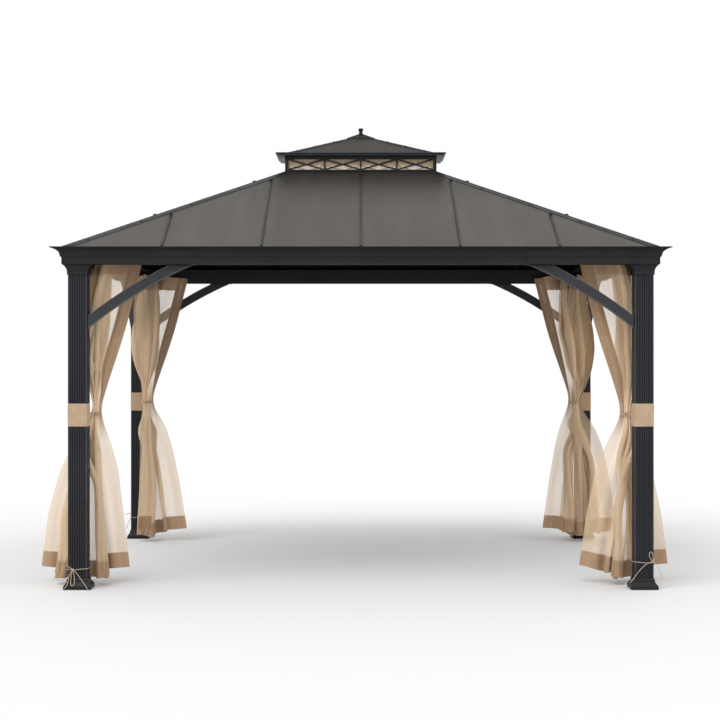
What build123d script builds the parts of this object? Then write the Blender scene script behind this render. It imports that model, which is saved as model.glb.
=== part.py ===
# Metal gazebo: four fluted posts, a moulded cornice, arched braces, a sheet roof in two
# tiers with a latticed vent between them, and netting gathered at every post.
# Millimetres. The origin is on the floor under the middle, and the front faces -Y.
import math
import os

from build123d import *

os.makedirs("parts", exist_ok=True)

# Plan of the frame, to the outer faces of the posts
half_x = 1735.0
half_y = 1430.0
fit = 0.3

# Posts: square tubes with flutes up every face
post_size = 112.0
post_wall = 3.0
flute_count = 7
flute_width = 8.5
flute_floor = 6.0
flute_depth = 6.0
flute_pitch = 13.5
post_top = 2005.0

# Feet: moulded plinths that the posts stand in
foot_plate = 8.0
foot_out = 25.0
foot_high = 65.0
foot_shares = [(1.0, 0.0), (1.0, 0.31), (0.28, 0.69), (0.28, 0.85), (0.08, 1.0)]

# Cornice: shares of its reach out and of its height, and the bow of the run that leads there
cornice_low = 1927.0
cornice_top = 2027.0
cornice_out = 95.0
cornice_shares = [
    (0.35, 0.0, 0.0),
    (0.35, 0.38, 0.0),
    (0.45, 0.53, 0.12),
    (0.68, 0.83, -0.14),
    (0.95, 0.95, -0.1),
    (1.0, 0.95, 0.0),
    (1.0, 1.0, 0.0),
]
beam_inner = 80.0
beam_wall = 3.0
capital_low = 1866.0
capital_foot = 6.0
capital_head = 31.0
capital_bow_share = 0.16
joint_gap = 1.5
joint_depth = 2.0

# Sleeves that cover the splices of the beams
sleeve_near = 588.0
sleeve_far = 752.0
sleeve_thick = 2.0

# Arched braces between post and beam
brace_foot = 1544.0
brace_reach = 627.0
brace_radius = 2700.0
brace_width = 58.0
brace_thick = 40.0
brace_inset = 6.0
brace_strips = 5
brace_groove_width = 5.5
brace_groove_depth = 6.0

# Double rail that the netting runs on
rail_low = 2001.0
rail_high = 2024.0
rail_near = 80.3
rail_far = 145.0
rail_slot = 9.0
rail_wall = 5.0
rail_end = 145.0

# Main roof: its pitch is rise over run
roof_out = 30.0
pitch_share = 0.457
front_panel_count = 6
side_panel_count = 5
sheet_thick = 3.0
seam_gap = 4.0
rib_width = 12.0
rib_height = 10.0
rafter_width = 30.0
rafter_depth = 30.0
top_clear = 3.0
hip_gap = 6.0
hip_cap_width = 62.0
hip_cap_thick = 3.0
hip_rafter_depth = 42.0

# Vent between the two roofs
ring_half_y = 195.0
ring_lift = 5.0
ring_deep = 50.0
ring_width = 40.0
vent_out = 4.0
vent_rise = 100.0
lattice_thick = 11.0
corner_extra = 1.5
lattice_foot = 10.0
lattice_head = 20.0
lattice_stile = 10.0
cross_width = 10.0
front_cross_count = 4
side_cross_count = 1
net_thick = 1.0
net_back = 2.0
net_inset = 30.0

# Upper cornice and roof: shares of its reach out and its depth, and the bows
upper_lip = 61.0
upper_deep = 19.0
upper_shares = [
    (0.0, 0.0, 0.0),
    (0.74, 0.0, 0.0),
    (0.8, 0.3, 0.12),
    (0.95, 0.72, -0.14),
    (1.0, 0.72, 0.0),
    (1.0, 1.0, 0.0),
]
upper_inside = 40.0
upper_set = 9.0
upper_rise = 138.0
upper_cut_share = 0.14
upper_cap_width_x = 44.0
upper_cap_width_y = 26.0
upper_cap_thick = 2.5
crown_share = 0.19
crown_lift = 2.8
crown_rise = 36.5
crown_thick = 4.0

# Finial on the flat of the crown: shares of its radius and height, and the bows
crown_cut = 4.0
finial_round = 16.0
finial_high = 36.0
finial_shares = [
    (0.0, 0.0, 0.0),
    (0.9, 0.0, 0.0),
    (0.74, 0.16, -0.12),
    (0.74, 0.4, 0.0),
    (1.0, 0.56, -0.12),
    (1.0, 0.8, 0.08),
    (0.8, 1.0, 0.16),
    (0.0, 1.0, 0.0),
]

# Straps that hold the netting to the posts
strap_low = 965.0
strap_high = 1101.0
strap_thick = 3.0
strap_round = 8.0
loop_high = 18.0
loop_round = 25.0

# Gathered netting: each section's centre, in from the two post faces, and its half sizes, as
# shares of its half width at the rail; and its height, as a share of the rail's
net_reach = 150.0
net_slack = 0.8
front_waist_shares = (1.0, 1.07)
front_above_shares = [
    (2.0, 0.93, 1.0, 0.2, 1.0),
    (1.77, 0.97, 0.8, 0.2, 0.85),
    (1.3, 1.01, 0.41, 0.2, 0.65),
]
front_below_shares = [
    (1.3, 1.33, 0.53, 0.3, 0.35),
    (1.44, 1.59, 0.68, 0.43, 0.15),
    (1.56, 1.72, 0.82, 0.51, 0.0225),
]
side_waist_shares = (0.79, 1.44)
side_above_shares = [
    (0.93, 2.47, 0.2, 1.0, 1.0),
    (0.89, 2.3, 0.2, 0.8, 0.85),
    (0.84, 2.0, 0.2, 0.41, 0.65),
]
back_below_shares = [
    (0.42, 1.95, 0.33, 0.5, 0.35),
    (0.37, 2.1, 0.36, 0.62, 0.15),
    (0.33, 2.17, 0.38, 0.7, 0.0225),
]
side_below_shares = [
    (0.1, 1.93, 0.67, 0.4, 0.35),
    (-0.23, 2.08, 0.87, 0.56, 0.15),
    (-0.37, 2.15, 0.95, 0.67, 0.0225),
]

# Cords that tie the netting to the foot of each post
cord_thick = 4.0
ring_round = 2.4
knot_size = 13.0
bend_share = 0.45
# Each tie: the height of its ring, its knot, and the routes of its loop and its ends, as
# distances in from the left face, out from the front face, and up
near_tie = {
    "ring": 120.0,
    "knot": (30.0, 7.2, 118.0),
    "loop": [
        (28.0, 10.0, 112.0),
        (21.0, 12.0, 82.0),
        (19.0, 15.0, 54.0),
        (21.0, 29.0, 27.0),
        (40.0, 30.0, 24.0),
        (43.0, 17.0, 52.0),
        (39.0, 12.0, 82.0),
        (33.0, 10.0, 112.0),
    ],
    "long_end": [
        (36.0, 9.0, 117.0),
        (62.0, 11.0, 88.0),
        (84.0, 15.0, 56.0),
        (104.0, 29.0, 32.0),
        (118.0, 34.0, 12.0),
        (128.0, 46.0, 4.0),
    ],
    "short_end": [
        (24.0, 9.0, 115.0),
        (10.0, 11.0, 88.0),
        (5.0, 15.0, 56.0),
        (1.0, 30.0, 30.0),
        (-13.0, 34.0, 12.0),
        (-26.0, 40.0, 4.0),
    ],
    "strand": [
        (26.0, 8.0, 123.0),
        (9.0, 6.0, 133.0),
        (-4.5, 4.5, 139.0),
        (-6.0, -14.0, 144.0),
        (-7.0, -34.0, 150.0),
        (-6.0, -58.0, 155.0),
        (-9.0, -102.0, 165.0),
        (-12.0, -152.0, 172.0),
        (-18.0, -192.0, 176.0),
        (-24.0, -222.0, 179.0),
    ],
}
far_tie = {
    "ring": 160.0,
    "knot": (7.0, 7.2, 166.0),
    "loop": [
        (5.0, 9.0, 170.0),
        (5.0, 13.0, 200.0),
        (14.0, 14.0, 226.0),
        (28.0, 14.0, 221.0),
        (29.0, 12.0, 196.0),
        (11.0, 9.0, 168.0),
    ],
    "long_end": [
        (14.0, 9.0, 165.0),
        (38.0, 8.0, 158.0),
        (66.0, 9.0, 134.0),
        (94.0, 10.0, 104.0),
        (124.0, 14.0, 62.0),
        (143.0, 16.0, 42.0),
    ],
    "short_end": [
        (1.0, 9.0, 163.0),
        (-14.0, 9.0, 148.0),
        (-29.0, 10.0, 124.0),
        (-42.0, 12.0, 94.0),
        (-52.0, 16.0, 62.0),
    ],
    "strand": [
        (2.0, 7.0, 172.0),
        (-6.0, -4.0, 180.0),
        (-6.0, -22.0, 182.0),
        (-6.0, -52.0, 184.0),
        (-9.0, -102.0, 188.0),
        (-12.0, -152.0, 190.0),
        (-18.0, -192.0, 192.0),
        (-24.0, -222.0, 194.0),
    ],
}


def box_between(low, high):
    """A box from its low corner to its high corner."""
    size = [b - a for a, b in zip(low, high)]
    return Pos(*low) * Box(*size, align=(Align.MIN, Align.MIN, Align.MIN))


def save(name, *shapes):
    """Write one node, as one solid or as several that stand apart."""
    solids = [solid for shape in shapes for solid in shape.solids()]
    export_step(solids[0] if len(solids) == 1 else Compound(solids), f"parts/{name}.step")


def across(shape):
    return shape.mirror(Plane.YZ)


def behind(shape):
    return shape.mirror(Plane.XZ)


def corners(shape):
    """The front-left shape and its three mirror images, by corner name."""
    back = behind(shape)
    return {
        "front_left": shape,
        "front_right": across(shape),
        "back_left": back,
        "back_right": across(back),
    }


def traced(points, place):
    """A flat face through (out, up, bow) points; a bow bends the run that leads to its point."""
    edges = []
    for start, end in zip(points[-1:] + points[:-1], points):
        bow = end[2]
        a = place(start[0], start[1])
        b = place(end[0], end[1])
        if bow:
            out = (start[0] + end[0]) / 2 + (end[1] - start[1]) * bow
            up = (start[1] + end[1]) / 2 - (end[0] - start[0]) * bow
            edges.append(ThreePointArc(a, place(out, up), b))
        else:
            edges.append(Line(a, b))
    return make_face(edges)


def along_x(points, x0, x1):
    """A front profile carried along X; out is measured forward from the post faces."""
    return extrude(traced(points, lambda out, up: (x0, -half_y - out, up)), x1 - x0, dir=(1, 0, 0))


def along_y(points, y0, y1):
    """A left profile carried along Y; out is measured to the left from the post faces."""
    return extrude(traced(points, lambda out, up: (-half_x - out, y0, up)), y1 - y0, dir=(0, 1, 0))


# Posts and feet
post_x = half_x - post_size / 2
post_y = half_y - post_size / 2


def fluted_outline():
    """Corner points of the fluted square, one face after another."""
    reach = post_size / 2
    face = [(-reach, -reach)]
    for i in range(flute_count):
        middle = (i - (flute_count - 1) / 2) * flute_pitch
        face.append((middle - flute_width / 2, -reach))
        face.append((middle - flute_floor / 2, -reach + flute_depth))
        face.append((middle + flute_floor / 2, -reach + flute_depth))
        face.append((middle + flute_width / 2, -reach))
    points = []
    for turn in [(1, 0), (0, 1), (-1, 0), (0, -1)]:
        points += [(a * turn[0] - b * turn[1], a * turn[1] + b * turn[0]) for a, b in face]
    return points


tube_inside = post_size - 2 * (post_wall + flute_depth)
tube = make_face(Polyline(*fluted_outline(), close=True)) - Rectangle(tube_inside, tube_inside)
post = Pos(-post_x, -post_y, foot_plate) * extrude(tube, post_top - foot_plate)
for corner, shape in corners(post).items():
    save(f"post_{corner}", shape)

foot_sides = [(foot_out * out, foot_high * up, 0) for out, up in foot_shares]
foot_sides += [(-post_size - out, up, 0) for out, up, bow in reversed(foot_sides)]
foot_block = along_x(foot_sides, -half_x - foot_out, -half_x + post_size + foot_out)
foot_block &= along_y(foot_sides, -half_y - foot_out, -half_y + post_size + foot_out)
socket = box_between(
    (-half_x - fit, -half_y - fit, foot_plate),
    (-half_x + post_size + fit, -half_y + post_size + fit, cornice_low),
)
save("feet", *corners(foot_block - socket).values())

# Corner mouldings: capital below, cornice corner above, one casting
cornice_deep = cornice_top - cornice_low
cornice_run = [(cornice_out * out, cornice_low + cornice_deep * up, bow) for out, up, bow in cornice_shares]
band_out = cornice_run[0][0]
corner_in = post_size + capital_head
corner_sides = [(capital_foot, capital_low, 0)]
corner_sides.append((capital_head, cornice_low - joint_gap, -capital_bow_share))
corner_sides.append((capital_head - joint_depth, cornice_low - joint_gap, 0))
corner_sides.append((capital_head - joint_depth, cornice_low, 0))
corner_sides += cornice_run
corner_sides.append((-corner_in, cornice_top, 0))
corner_sides.append((-corner_in, cornice_low - joint_gap, 0))
corner_sides.append((-post_size - capital_foot, capital_low, -capital_bow_share))
moulding = along_x(corner_sides, -half_x - cornice_out, -half_x + corner_in)
moulding &= along_y(corner_sides, -half_y - cornice_out, -half_y + corner_in)
post_hole = box_between(
    (-half_x - fit, -half_y - fit, 0),
    (-half_x + post_size + fit, -half_y + post_size + fit, post_top + fit),
)
for corner, shape in corners(moulding - post_hole).items():
    save(f"corner_{corner}", shape)

# Beams: hollow lengths of cornice between the corner mouldings
beam_sides = [(-beam_inner, cornice_low, 0)] + cornice_run
beam_sides.append((-beam_inner, cornice_top, 0))
hollow = [
    (-beam_inner + beam_wall, cornice_low + beam_wall, 0),
    (band_out - beam_wall, cornice_low + beam_wall, 0),
    (band_out - beam_wall, cornice_top - beam_wall, 0),
    (-beam_inner + beam_wall, cornice_top - beam_wall, 0),
]
beam_x = half_x - corner_in - fit
beam_y = half_y - corner_in - fit
front_beam = along_x(beam_sides, -beam_x, beam_x) - along_x(hollow, -beam_x, beam_x)
left_beam = along_y(beam_sides, -beam_y, beam_y) - along_y(hollow, -beam_y, beam_y)
save("beam_front", front_beam)
save("beam_back", behind(front_beam))
save("beam_left", left_beam)
save("beam_right", across(left_beam))

cover = [(-beam_inner, cornice_low - sleeve_thick, 0)]
cover.append((band_out + sleeve_thick, cornice_low - sleeve_thick, 0))
cover += [(out + sleeve_thick, up, bow) for out, up, bow in cornice_run[1:4]]
cover.append((cornice_run[3][0], cornice_run[3][1], 0))
cover.append((cornice_run[2][0], cornice_run[2][1], -cornice_run[3][2]))
cover.append((cornice_run[1][0], cornice_run[1][1], -cornice_run[2][2]))
cover.append((band_out, cornice_low, 0))
cover.append((-beam_inner, cornice_low, 0))
front_sleeve = along_x(cover, -half_x + sleeve_near, -half_x + sleeve_far)
left_sleeve = along_y(cover, -half_y + sleeve_near, -half_y + sleeve_far)
save("beam_sleeves", *corners(front_sleeve).values(), *corners(left_sleeve).values())

# Braces: arched bars, grooved along both faces, drawn for one post face at out = 0
post_inner = post_size + fit
low_end = (post_inner, brace_foot)
brace_head = cornice_low - sleeve_thick - fit
high_end = (post_inner + brace_reach, brace_head)
chord = math.dist(low_end, high_end)
lean = ((high_end[0] - low_end[0]) / chord, (high_end[1] - low_end[1]) / chord)
drop = math.sqrt(brace_radius**2 - (chord / 2) ** 2)
arch_centre = (
    (low_end[0] + high_end[0]) / 2 + lean[1] * drop,
    (low_end[1] + high_end[1]) / 2 - lean[0] * drop,
)


def arch_band(inner, outer, y0, y1):
    """A ring about the centre of the arch, between two radii and two depths, on the front face."""
    flat = Circle(outer) - Circle(inner)
    ring = extrude(Plane.XZ * flat, y0 - y1)
    return Pos(-half_x + arch_centre[0], y0, arch_centre[1]) * ring


brace_front = -half_y + brace_inset
brace_back = brace_front + brace_thick
brace_space = box_between(
    (-half_x + post_inner, brace_front - brace_thick, capital_low - brace_reach),
    (-half_x + post_inner + brace_reach * 2, brace_back + brace_thick, brace_head),
)
capital_space = box_between(
    (-half_x, brace_front - brace_thick, capital_low - fit),
    (-half_x + corner_in + fit, brace_back + brace_thick, cornice_low),
)
brace = arch_band(brace_radius, brace_radius + brace_width, brace_front, brace_back)
brace = (brace & brace_space) - capital_space
groove_pitch = brace_width / brace_strips
for i in range(1, brace_strips):
    groove_low = brace_radius + i * groove_pitch - brace_groove_width / 2
    groove_high = groove_low + brace_groove_width
    brace -= arch_band(groove_low, groove_high, brace_front - fit, brace_front + brace_groove_depth)
    brace -= arch_band(groove_low, groove_high, brace_back - brace_groove_depth, brace_back + fit)
to_origin = Pos(half_x, half_y, 0)
side_brace = Pos(-half_x, -half_y, 0) * (to_origin * brace).mirror(Plane((0, 0, 0), (1, 1, 0), (1, -1, 0)))
save("braces_front", brace, across(brace))
save("braces_back", behind(brace), across(behind(brace)))
save("braces_left", side_brace, behind(side_brace))
save("braces_right", across(side_brace), across(behind(side_brace)))

# Rails under the cornice, with two slots open below
rail_mid = (rail_near + rail_far) / 2
rail_sides = [
    (-rail_far, rail_low, 0),
    (-rail_far, rail_high, 0),
    (-rail_near, rail_high, 0),
    (-rail_near, rail_low, 0),
]
slot_quarter = (rail_far - rail_near) / 4
front_rail = along_x(rail_sides, -half_x + rail_end, half_x - rail_end)
left_rail = along_y(rail_sides, -half_y + rail_far + joint_depth, half_y - rail_far - joint_depth)
for middle in [rail_mid - slot_quarter, rail_mid + slot_quarter]:
    slot = [
        (-middle - rail_slot, rail_low, 0),
        (-middle - rail_slot, rail_high - rail_wall, 0),
        (-middle + rail_slot, rail_high - rail_wall, 0),
        (-middle + rail_slot, rail_low, 0),
    ]
    front_rail -= along_x(slot, -half_x, half_x)
    left_rail -= along_y(slot, -half_y, half_y)
save("curtain_rails", front_rail, behind(front_rail), left_rail, across(left_rail))


# Main roof: along is measured from the middle of a side, depth inward from its eave
roof_half_x = half_x + roof_out
roof_half_y = half_y + roof_out
roof_run = roof_half_y - ring_half_y


def front_slope(along, depth, lift):
    return (along, depth - roof_half_y, cornice_top + pitch_share * depth + lift)


def left_slope(along, depth, lift):
    return (depth - roof_half_x, along, cornice_top + pitch_share * depth + lift)


def seam_places(half, count):
    """Places of the seams between a number of equal panels."""
    return [half * (2 * i / count - 1) for i in range(1, count)]


def slab(slope, plan, low, high):
    """A sloping slab over a plan outline, between two lifts above the roof's underside."""
    face = make_face(Polyline(*[slope(a, d, low) for a, d in plan], close=True))
    return extrude(face, high - low, dir=(0, 0, 1))


def trimmed(plan, sign, limit):
    """The part of a plan outline where sign * along + depth stays below the limit."""
    kept = []
    for start, end in zip(plan[-1:] + plan[:-1], plan):
        before = limit - sign * start[0] - start[1]
        after = limit - sign * end[0] - end[1]
        if before * after < 0:
            share = before / (before - after)
            kept.append(tuple(a + (b - a) * share for a, b in zip(start, end)))
        if after >= 0:
            kept.append(end)
    return kept


def roof_side(slope, half, seams):
    """The sheets of one slope, side by side between seams and hips."""
    sheets = []
    edges = [-half] + seams + [half]
    for low, high in zip(edges[:-1], edges[1:]):
        gap = seam_gap / 2 + fit
        plan = [(low + gap, 0), (high - gap, 0), (high - gap, roof_run), (low + gap, roof_run)]
        plan = trimmed(trimmed(plan, 1, half - hip_gap), -1, half - hip_gap)
        sheets.append(slab(slope, plan, 0, sheet_thick))
    return Compound(sheets)


above_cornice = box_between(
    (-half_x * 2, -half_y * 2, cornice_top), (half_x * 2, half_y * 2, cornice_top * 2)
)


def seam_bar(slope, half, along):
    """A rib over a seam, a web through it and a rafter below, in one bar."""
    length = min(roof_run - vent_out - top_clear, half - abs(along) - hip_cap_width - rafter_width)
    pieces = []
    for width, low, high in [
        (rib_width, sheet_thick, sheet_thick + rib_height),
        (seam_gap, -fit, sheet_thick + fit),
        (rafter_width, -rafter_depth, 0),
    ]:
        left = along - width / 2
        right = along + width / 2
        pieces.append(slab(slope, [(left, 0), (right, 0), (right, length), (left, length)], low, high))
    return (pieces[0] + pieces[1] + pieces[2]) & above_cornice


front_seams = seam_places(roof_half_x, front_panel_count)
side_seams = seam_places(roof_half_y, side_panel_count)
front_roof = roof_side(front_slope, roof_half_x, front_seams)
left_roof = roof_side(left_slope, roof_half_y, side_seams)
save("roof_front", front_roof)
save("roof_back", behind(front_roof))
save("roof_left", left_roof)
save("roof_right", across(left_roof))

front_bars = Compound([seam_bar(front_slope, roof_half_x, along) for along in front_seams])
left_bars = Compound([seam_bar(left_slope, roof_half_y, along) for along in side_seams])
save("roof_seams", front_bars, behind(front_bars), left_bars, across(left_bars))


def hip_strip(width, low, high):
    """Two wings that meet over the front-left hip."""
    end = roof_run - top_clear
    wings = []
    for slope, half in [(front_slope, roof_half_x), (left_slope, roof_half_y)]:
        plan = [(-half, 0), (width - half, 0), (width - half + end, end), (end - half, end)]
        wings.append(slab(slope, plan, low, high))
    return wings[0] + wings[1]


hip_cap = hip_strip(hip_cap_width, sheet_thick, sheet_thick + hip_cap_thick)
save("hip_caps", *corners(hip_cap).values())
hip_rafter = hip_strip(hip_cap_width, -hip_rafter_depth, 0) & above_cornice
save("hip_rafters", *corners(hip_rafter).values())

# Vent: ring, corner posts, lattices and netting
ring_high = cornice_top + pitch_share * roof_run + ring_lift
ring_low = ring_high - ring_deep
vent_high = ring_high + vent_rise
ring_half_x = roof_half_x - roof_run
ring_bar_front = box_between(
    (-ring_half_x + fit, -ring_half_y + fit, ring_low),
    (ring_half_x - fit, -ring_half_y + ring_width, ring_high),
)
ring_bar_left = box_between(
    (-ring_half_x + fit, -ring_half_y + ring_width + fit, ring_low),
    (-ring_half_x + ring_width, ring_half_y - ring_width - fit, ring_high),
)
save("vent_ring_long", ring_bar_front, behind(ring_bar_front))
save("vent_ring_short", ring_bar_left, across(ring_bar_left))

vent_half_x = ring_half_x + vent_out
vent_half_y = ring_half_y + vent_out
corner_post = lattice_thick + corner_extra
vent_post = box_between(
    (-vent_half_x, -vent_half_y, ring_high),
    (-vent_half_x + corner_post, -vent_half_y + corner_post, vent_high),
)
save("vent_posts", *corners(vent_post).values())


def lattice(half, count):
    """A framed row of crosses in the XZ plane, with its outer face at Y = 0."""
    low = ring_high + lattice_foot
    high = vent_high - lattice_head
    frame = box_between((-half, 0, ring_high), (half, lattice_thick, vent_high))
    frame -= box_between((-half + lattice_stile, 0, low), (half - lattice_stile, lattice_thick, high))
    bay = 2 * (half - lattice_stile) / count
    bars = []
    for i in range(count):
        left = -half + lattice_stile + i * bay
        middle = left + bay / 2
        slant = math.degrees(math.atan2(high - low, bay))
        for turn in [slant, -slant]:
            bar = Box(bay * 2, lattice_thick / 2, cross_width)
            bar = Pos(middle, lattice_thick / 2, (low + high) / 2) * Rot(0, turn, 0) * bar
            bars.append(bar & box_between((left, 0, low), (left + bay, lattice_thick, high)))
        if i:
            bars.append(
                box_between(
                    (left - lattice_stile / 2, 0, low), (left + lattice_stile / 2, lattice_thick, high)
                )
            )
    for bar in bars:
        frame += bar
    return frame


front_lattice = Pos(0, -vent_half_y, 0) * lattice(vent_half_x - corner_post - fit, front_cross_count)
left_lattice = lattice(vent_half_y - corner_post - fit, side_cross_count)
left_lattice = Pos(-vent_half_x, 0, 0) * Rot(0, 0, -90) * left_lattice
save("lattice_front", front_lattice)
save("lattice_back", behind(front_lattice))
save("lattice_left", left_lattice)
save("lattice_right", across(left_lattice))

net_y = -vent_half_y + lattice_thick + net_back
net_x = -vent_half_x + lattice_thick + net_back
front_vent_net = box_between(
    (net_x + net_inset, net_y, ring_high), (-net_x - net_inset, net_y + net_thick, vent_high)
)
left_vent_net = box_between(
    (net_x, net_y + net_inset, ring_high), (net_x + net_thick, -net_y - net_inset, vent_high)
)
save("vent_netting", front_vent_net, behind(front_vent_net), left_vent_net, across(left_vent_net))

# Upper cornice: a mitred ring, kept as two long and two short bars
upper_low = vent_high
upper_top = upper_low + upper_deep
upper_sides = [(upper_lip * out, upper_low + upper_deep * up, bow) for out, up, bow in upper_shares]


def mirrored_profile(points, half):
    """An edge profile and its mirror image as one closed outline about the middle."""
    right = [(half + out, up, bow) for out, up, bow in points]
    left = []
    for i in range(len(points) - 1, -1, -1):
        bow = points[i + 1][2] if i + 1 < len(points) else 0
        left.append((-half - points[i][0], points[i][1], bow))
    return right + left


upper_long = traced(
    mirrored_profile(upper_sides, vent_half_y), lambda out, up: (-vent_half_x - upper_lip, out, up)
)
upper_short = traced(
    mirrored_profile(upper_sides, vent_half_x), lambda out, up: (out, -vent_half_y - upper_lip, up)
)
upper_ring = extrude(upper_long, 2 * (vent_half_x + upper_lip), dir=(1, 0, 0))
upper_ring &= extrude(upper_short, 2 * (vent_half_y + upper_lip), dir=(0, 1, 0))
upper_ring -= box_between(
    (-vent_half_x + upper_inside, -vent_half_y + upper_inside, upper_low),
    (vent_half_x - upper_inside, vent_half_y - upper_inside, upper_top),
)
split_y = vent_half_y - upper_inside
front_part = box_between((-half_x, -half_y, upper_low), (half_x, -split_y, upper_top))
side_part = box_between((-half_x, -split_y + fit, upper_low), (0, split_y - fit, upper_top))
upper_front = upper_ring & front_part
upper_left = upper_ring & side_part
save("upper_cornice_long", upper_front, behind(upper_front))
save("upper_cornice_short", upper_left, across(upper_left))


# Upper roof: share runs from the eave at 1 to the apex at 0
upper_half_x = vent_half_x - upper_set
upper_half_y = vent_half_y - upper_set


def upper_point(share, in_x, in_y, slope, lift):
    """A point near the front-left hip, moved inward, on the front or the left plane."""
    x = -upper_half_x * share + in_x
    y = -upper_half_y * share + in_y
    rise = 1 + y / upper_half_y if slope == "front" else 1 + x / upper_half_x
    return (x, y, upper_top + upper_rise * rise + lift)


def upper_slab(points, low, high):
    return extrude(make_face(Polyline(*points, close=True)), high - low, dir=(0, 0, 1))


def upper_face(slope, outer, inner, low, high):
    """A sheet on the front or left plane between two shares of the way to the apex."""
    corner_points = [upper_point(outer, 0, 0, slope, low), upper_point(inner, 0, 0, slope, low)]
    flip = (-1, 1) if slope == "front" else (1, -1)
    corner_points += [(x * flip[0], y * flip[1], z) for x, y, z in reversed(corner_points)]
    return upper_slab(corner_points, low, high)


upper_front_sheet = upper_face("front", 1, upper_cut_share, 0, sheet_thick)
upper_left_sheet = upper_face("left", 1, upper_cut_share, 0, sheet_thick)
save("upper_roof_long", upper_front_sheet, behind(upper_front_sheet))
save("upper_roof_short", upper_left_sheet, across(upper_left_sheet))


def upper_wing(slope, in_x, in_y):
    points = [
        upper_point(1, 0, 0, slope, sheet_thick),
        upper_point(upper_cut_share, 0, 0, slope, sheet_thick),
        upper_point(upper_cut_share, in_x, in_y, slope, sheet_thick),
        upper_point(1, in_x, in_y, slope, sheet_thick),
    ]
    return upper_slab(points, sheet_thick, sheet_thick + upper_cap_thick)


upper_cap = upper_wing("front", upper_cap_width_x, 0) + upper_wing("left", 0, upper_cap_width_y)
save("upper_hip_caps", *corners(upper_cap).values())

crown_low = sheet_thick + crown_lift
crown_foot = upper_top + upper_rise * (1 - crown_share) + crown_low
crown_flat = crown_foot + crown_rise + crown_thick - crown_cut


def crown_side(slope):
    """One side of a pyramid steeper than the roof below it."""
    apex = (0, 0, crown_foot + crown_rise)
    left = upper_point(crown_share, 0, 0, slope, crown_low)
    flip = (-1, 1) if slope == "front" else (1, -1)
    right = (left[0] * flip[0], left[1] * flip[1], left[2])
    return upper_slab([left, right, apex], crown_low, crown_low + crown_thick)


crown = crown_side("front") + behind(crown_side("front"))
crown += crown_side("left") + across(crown_side("left"))
crown &= box_between((-half_x, -half_y, 0), (half_x, half_y, crown_flat))
save("roof_crown", crown)

finial_sides = [(finial_round * out, crown_flat + finial_high * up, bow) for out, up, bow in finial_shares]
finial = revolve(traced(finial_sides, lambda out, up: (out, 0, up)), Axis.Z)
save("finial", Pos(0, 0, fit) * finial)

# Straps round the posts, each with a tab that holds the gathers
strap_inner = post_size + 2 * fit
strap_outer = strap_inner + 2 * strap_thick
strap_ring = RectangleRounded(strap_outer, strap_outer, strap_round) - Rectangle(strap_inner, strap_inner)
strap = Pos(-post_x, -post_y, strap_low) * extrude(strap_ring, strap_high - strap_low)
gather_a = (net_reach * front_waist_shares[0] - half_x, net_reach * front_waist_shares[1] - half_y)
gather_b = (net_reach * side_waist_shares[0] - half_x, net_reach * side_waist_shares[1] - half_y)
apart = math.dist(gather_a, gather_b)
swing = math.degrees(math.atan2(gather_b[1] - gather_a[1], gather_b[0] - gather_a[0]))
loop_place = Pos((gather_a[0] + gather_b[0]) / 2, (gather_a[1] + gather_b[1]) / 2, 0) * Rot(0, 0, swing)
loop_inside = SlotCenterToCenter(apart, 2 * loop_round)
loop_low = (strap_low + strap_high - loop_high) / 2
loop = SlotCenterToCenter(apart, 2 * (loop_round + strap_thick)) - loop_inside
loop = Pos(0, 0, loop_low) * loop_place * extrude(loop, loop_high)
tab_from = (post_size + fit + strap_thick / 2 - half_x, post_size - strap_round - half_y)
tab_run = math.dist(tab_from, gather_a)
tab_turn = math.degrees(math.atan2(gather_a[1] - tab_from[1], gather_a[0] - tab_from[0]))
tab = Box(tab_run, strap_thick, loop_high, align=(Align.MIN, Align.CENTER, Align.MIN))
tab = Pos(*tab_from, loop_low) * Rot(0, 0, tab_turn) * tab
tab -= Pos(0, 0, loop_low) * loop_place * extrude(loop_inside, loop_high)
save("straps", *corners(strap + loop + tab).values())


# Netting: hourglass bundles, pinched along the height of the strap's loop
waist_reach = loop_round - net_slack


def oval(share_x, share_y, wide, deep, up):
    """One section: its centre as shares in from the front-left post's outer faces."""
    return Pos(net_reach * share_x - half_x, net_reach * share_y - half_y, up) * Ellipse(wide, deep)


def bundle(above, waist, below):
    """Flares up to the rail and down to the hem, from a straight waist inside the loop."""
    flares = []
    for sections in [above, below]:
        flares.append([])
        for share_x, share_y, wide, deep, up in sections:
            section = oval(share_x, share_y, net_reach * wide, net_reach * deep, (rail_low - fit) * up)
            flares[-1].append(section)
    waist_top = oval(*waist, waist_reach, waist_reach, loop_low + loop_high)
    waist_low = oval(*waist, waist_reach, waist_reach, loop_low)
    return loft(flares[0] + [waist_top]) + loft([waist_top, waist_low]) + loft([waist_low] + flares[1])


front_net = bundle(front_above_shares, front_waist_shares, front_below_shares)
side_net = bundle(side_above_shares, side_waist_shares, side_below_shares)
for corner, shape in corners(front_net).items():
    save(f"netting_long_{corner}", shape)
back_net = bundle(side_above_shares, side_waist_shares, back_below_shares)
save("netting_short_front_left", side_net)
save("netting_short_front_right", across(side_net))
save("netting_short_back_left", behind(back_net))
save("netting_short_back_right", across(behind(back_net)))


# Ties: a ring and knot at the foot of each post, with a loop, two ends and a strand to the hem
def tie_point(in_x, out_y, up):
    return Vector(in_x - half_x, -half_y - out_y, up)


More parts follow.
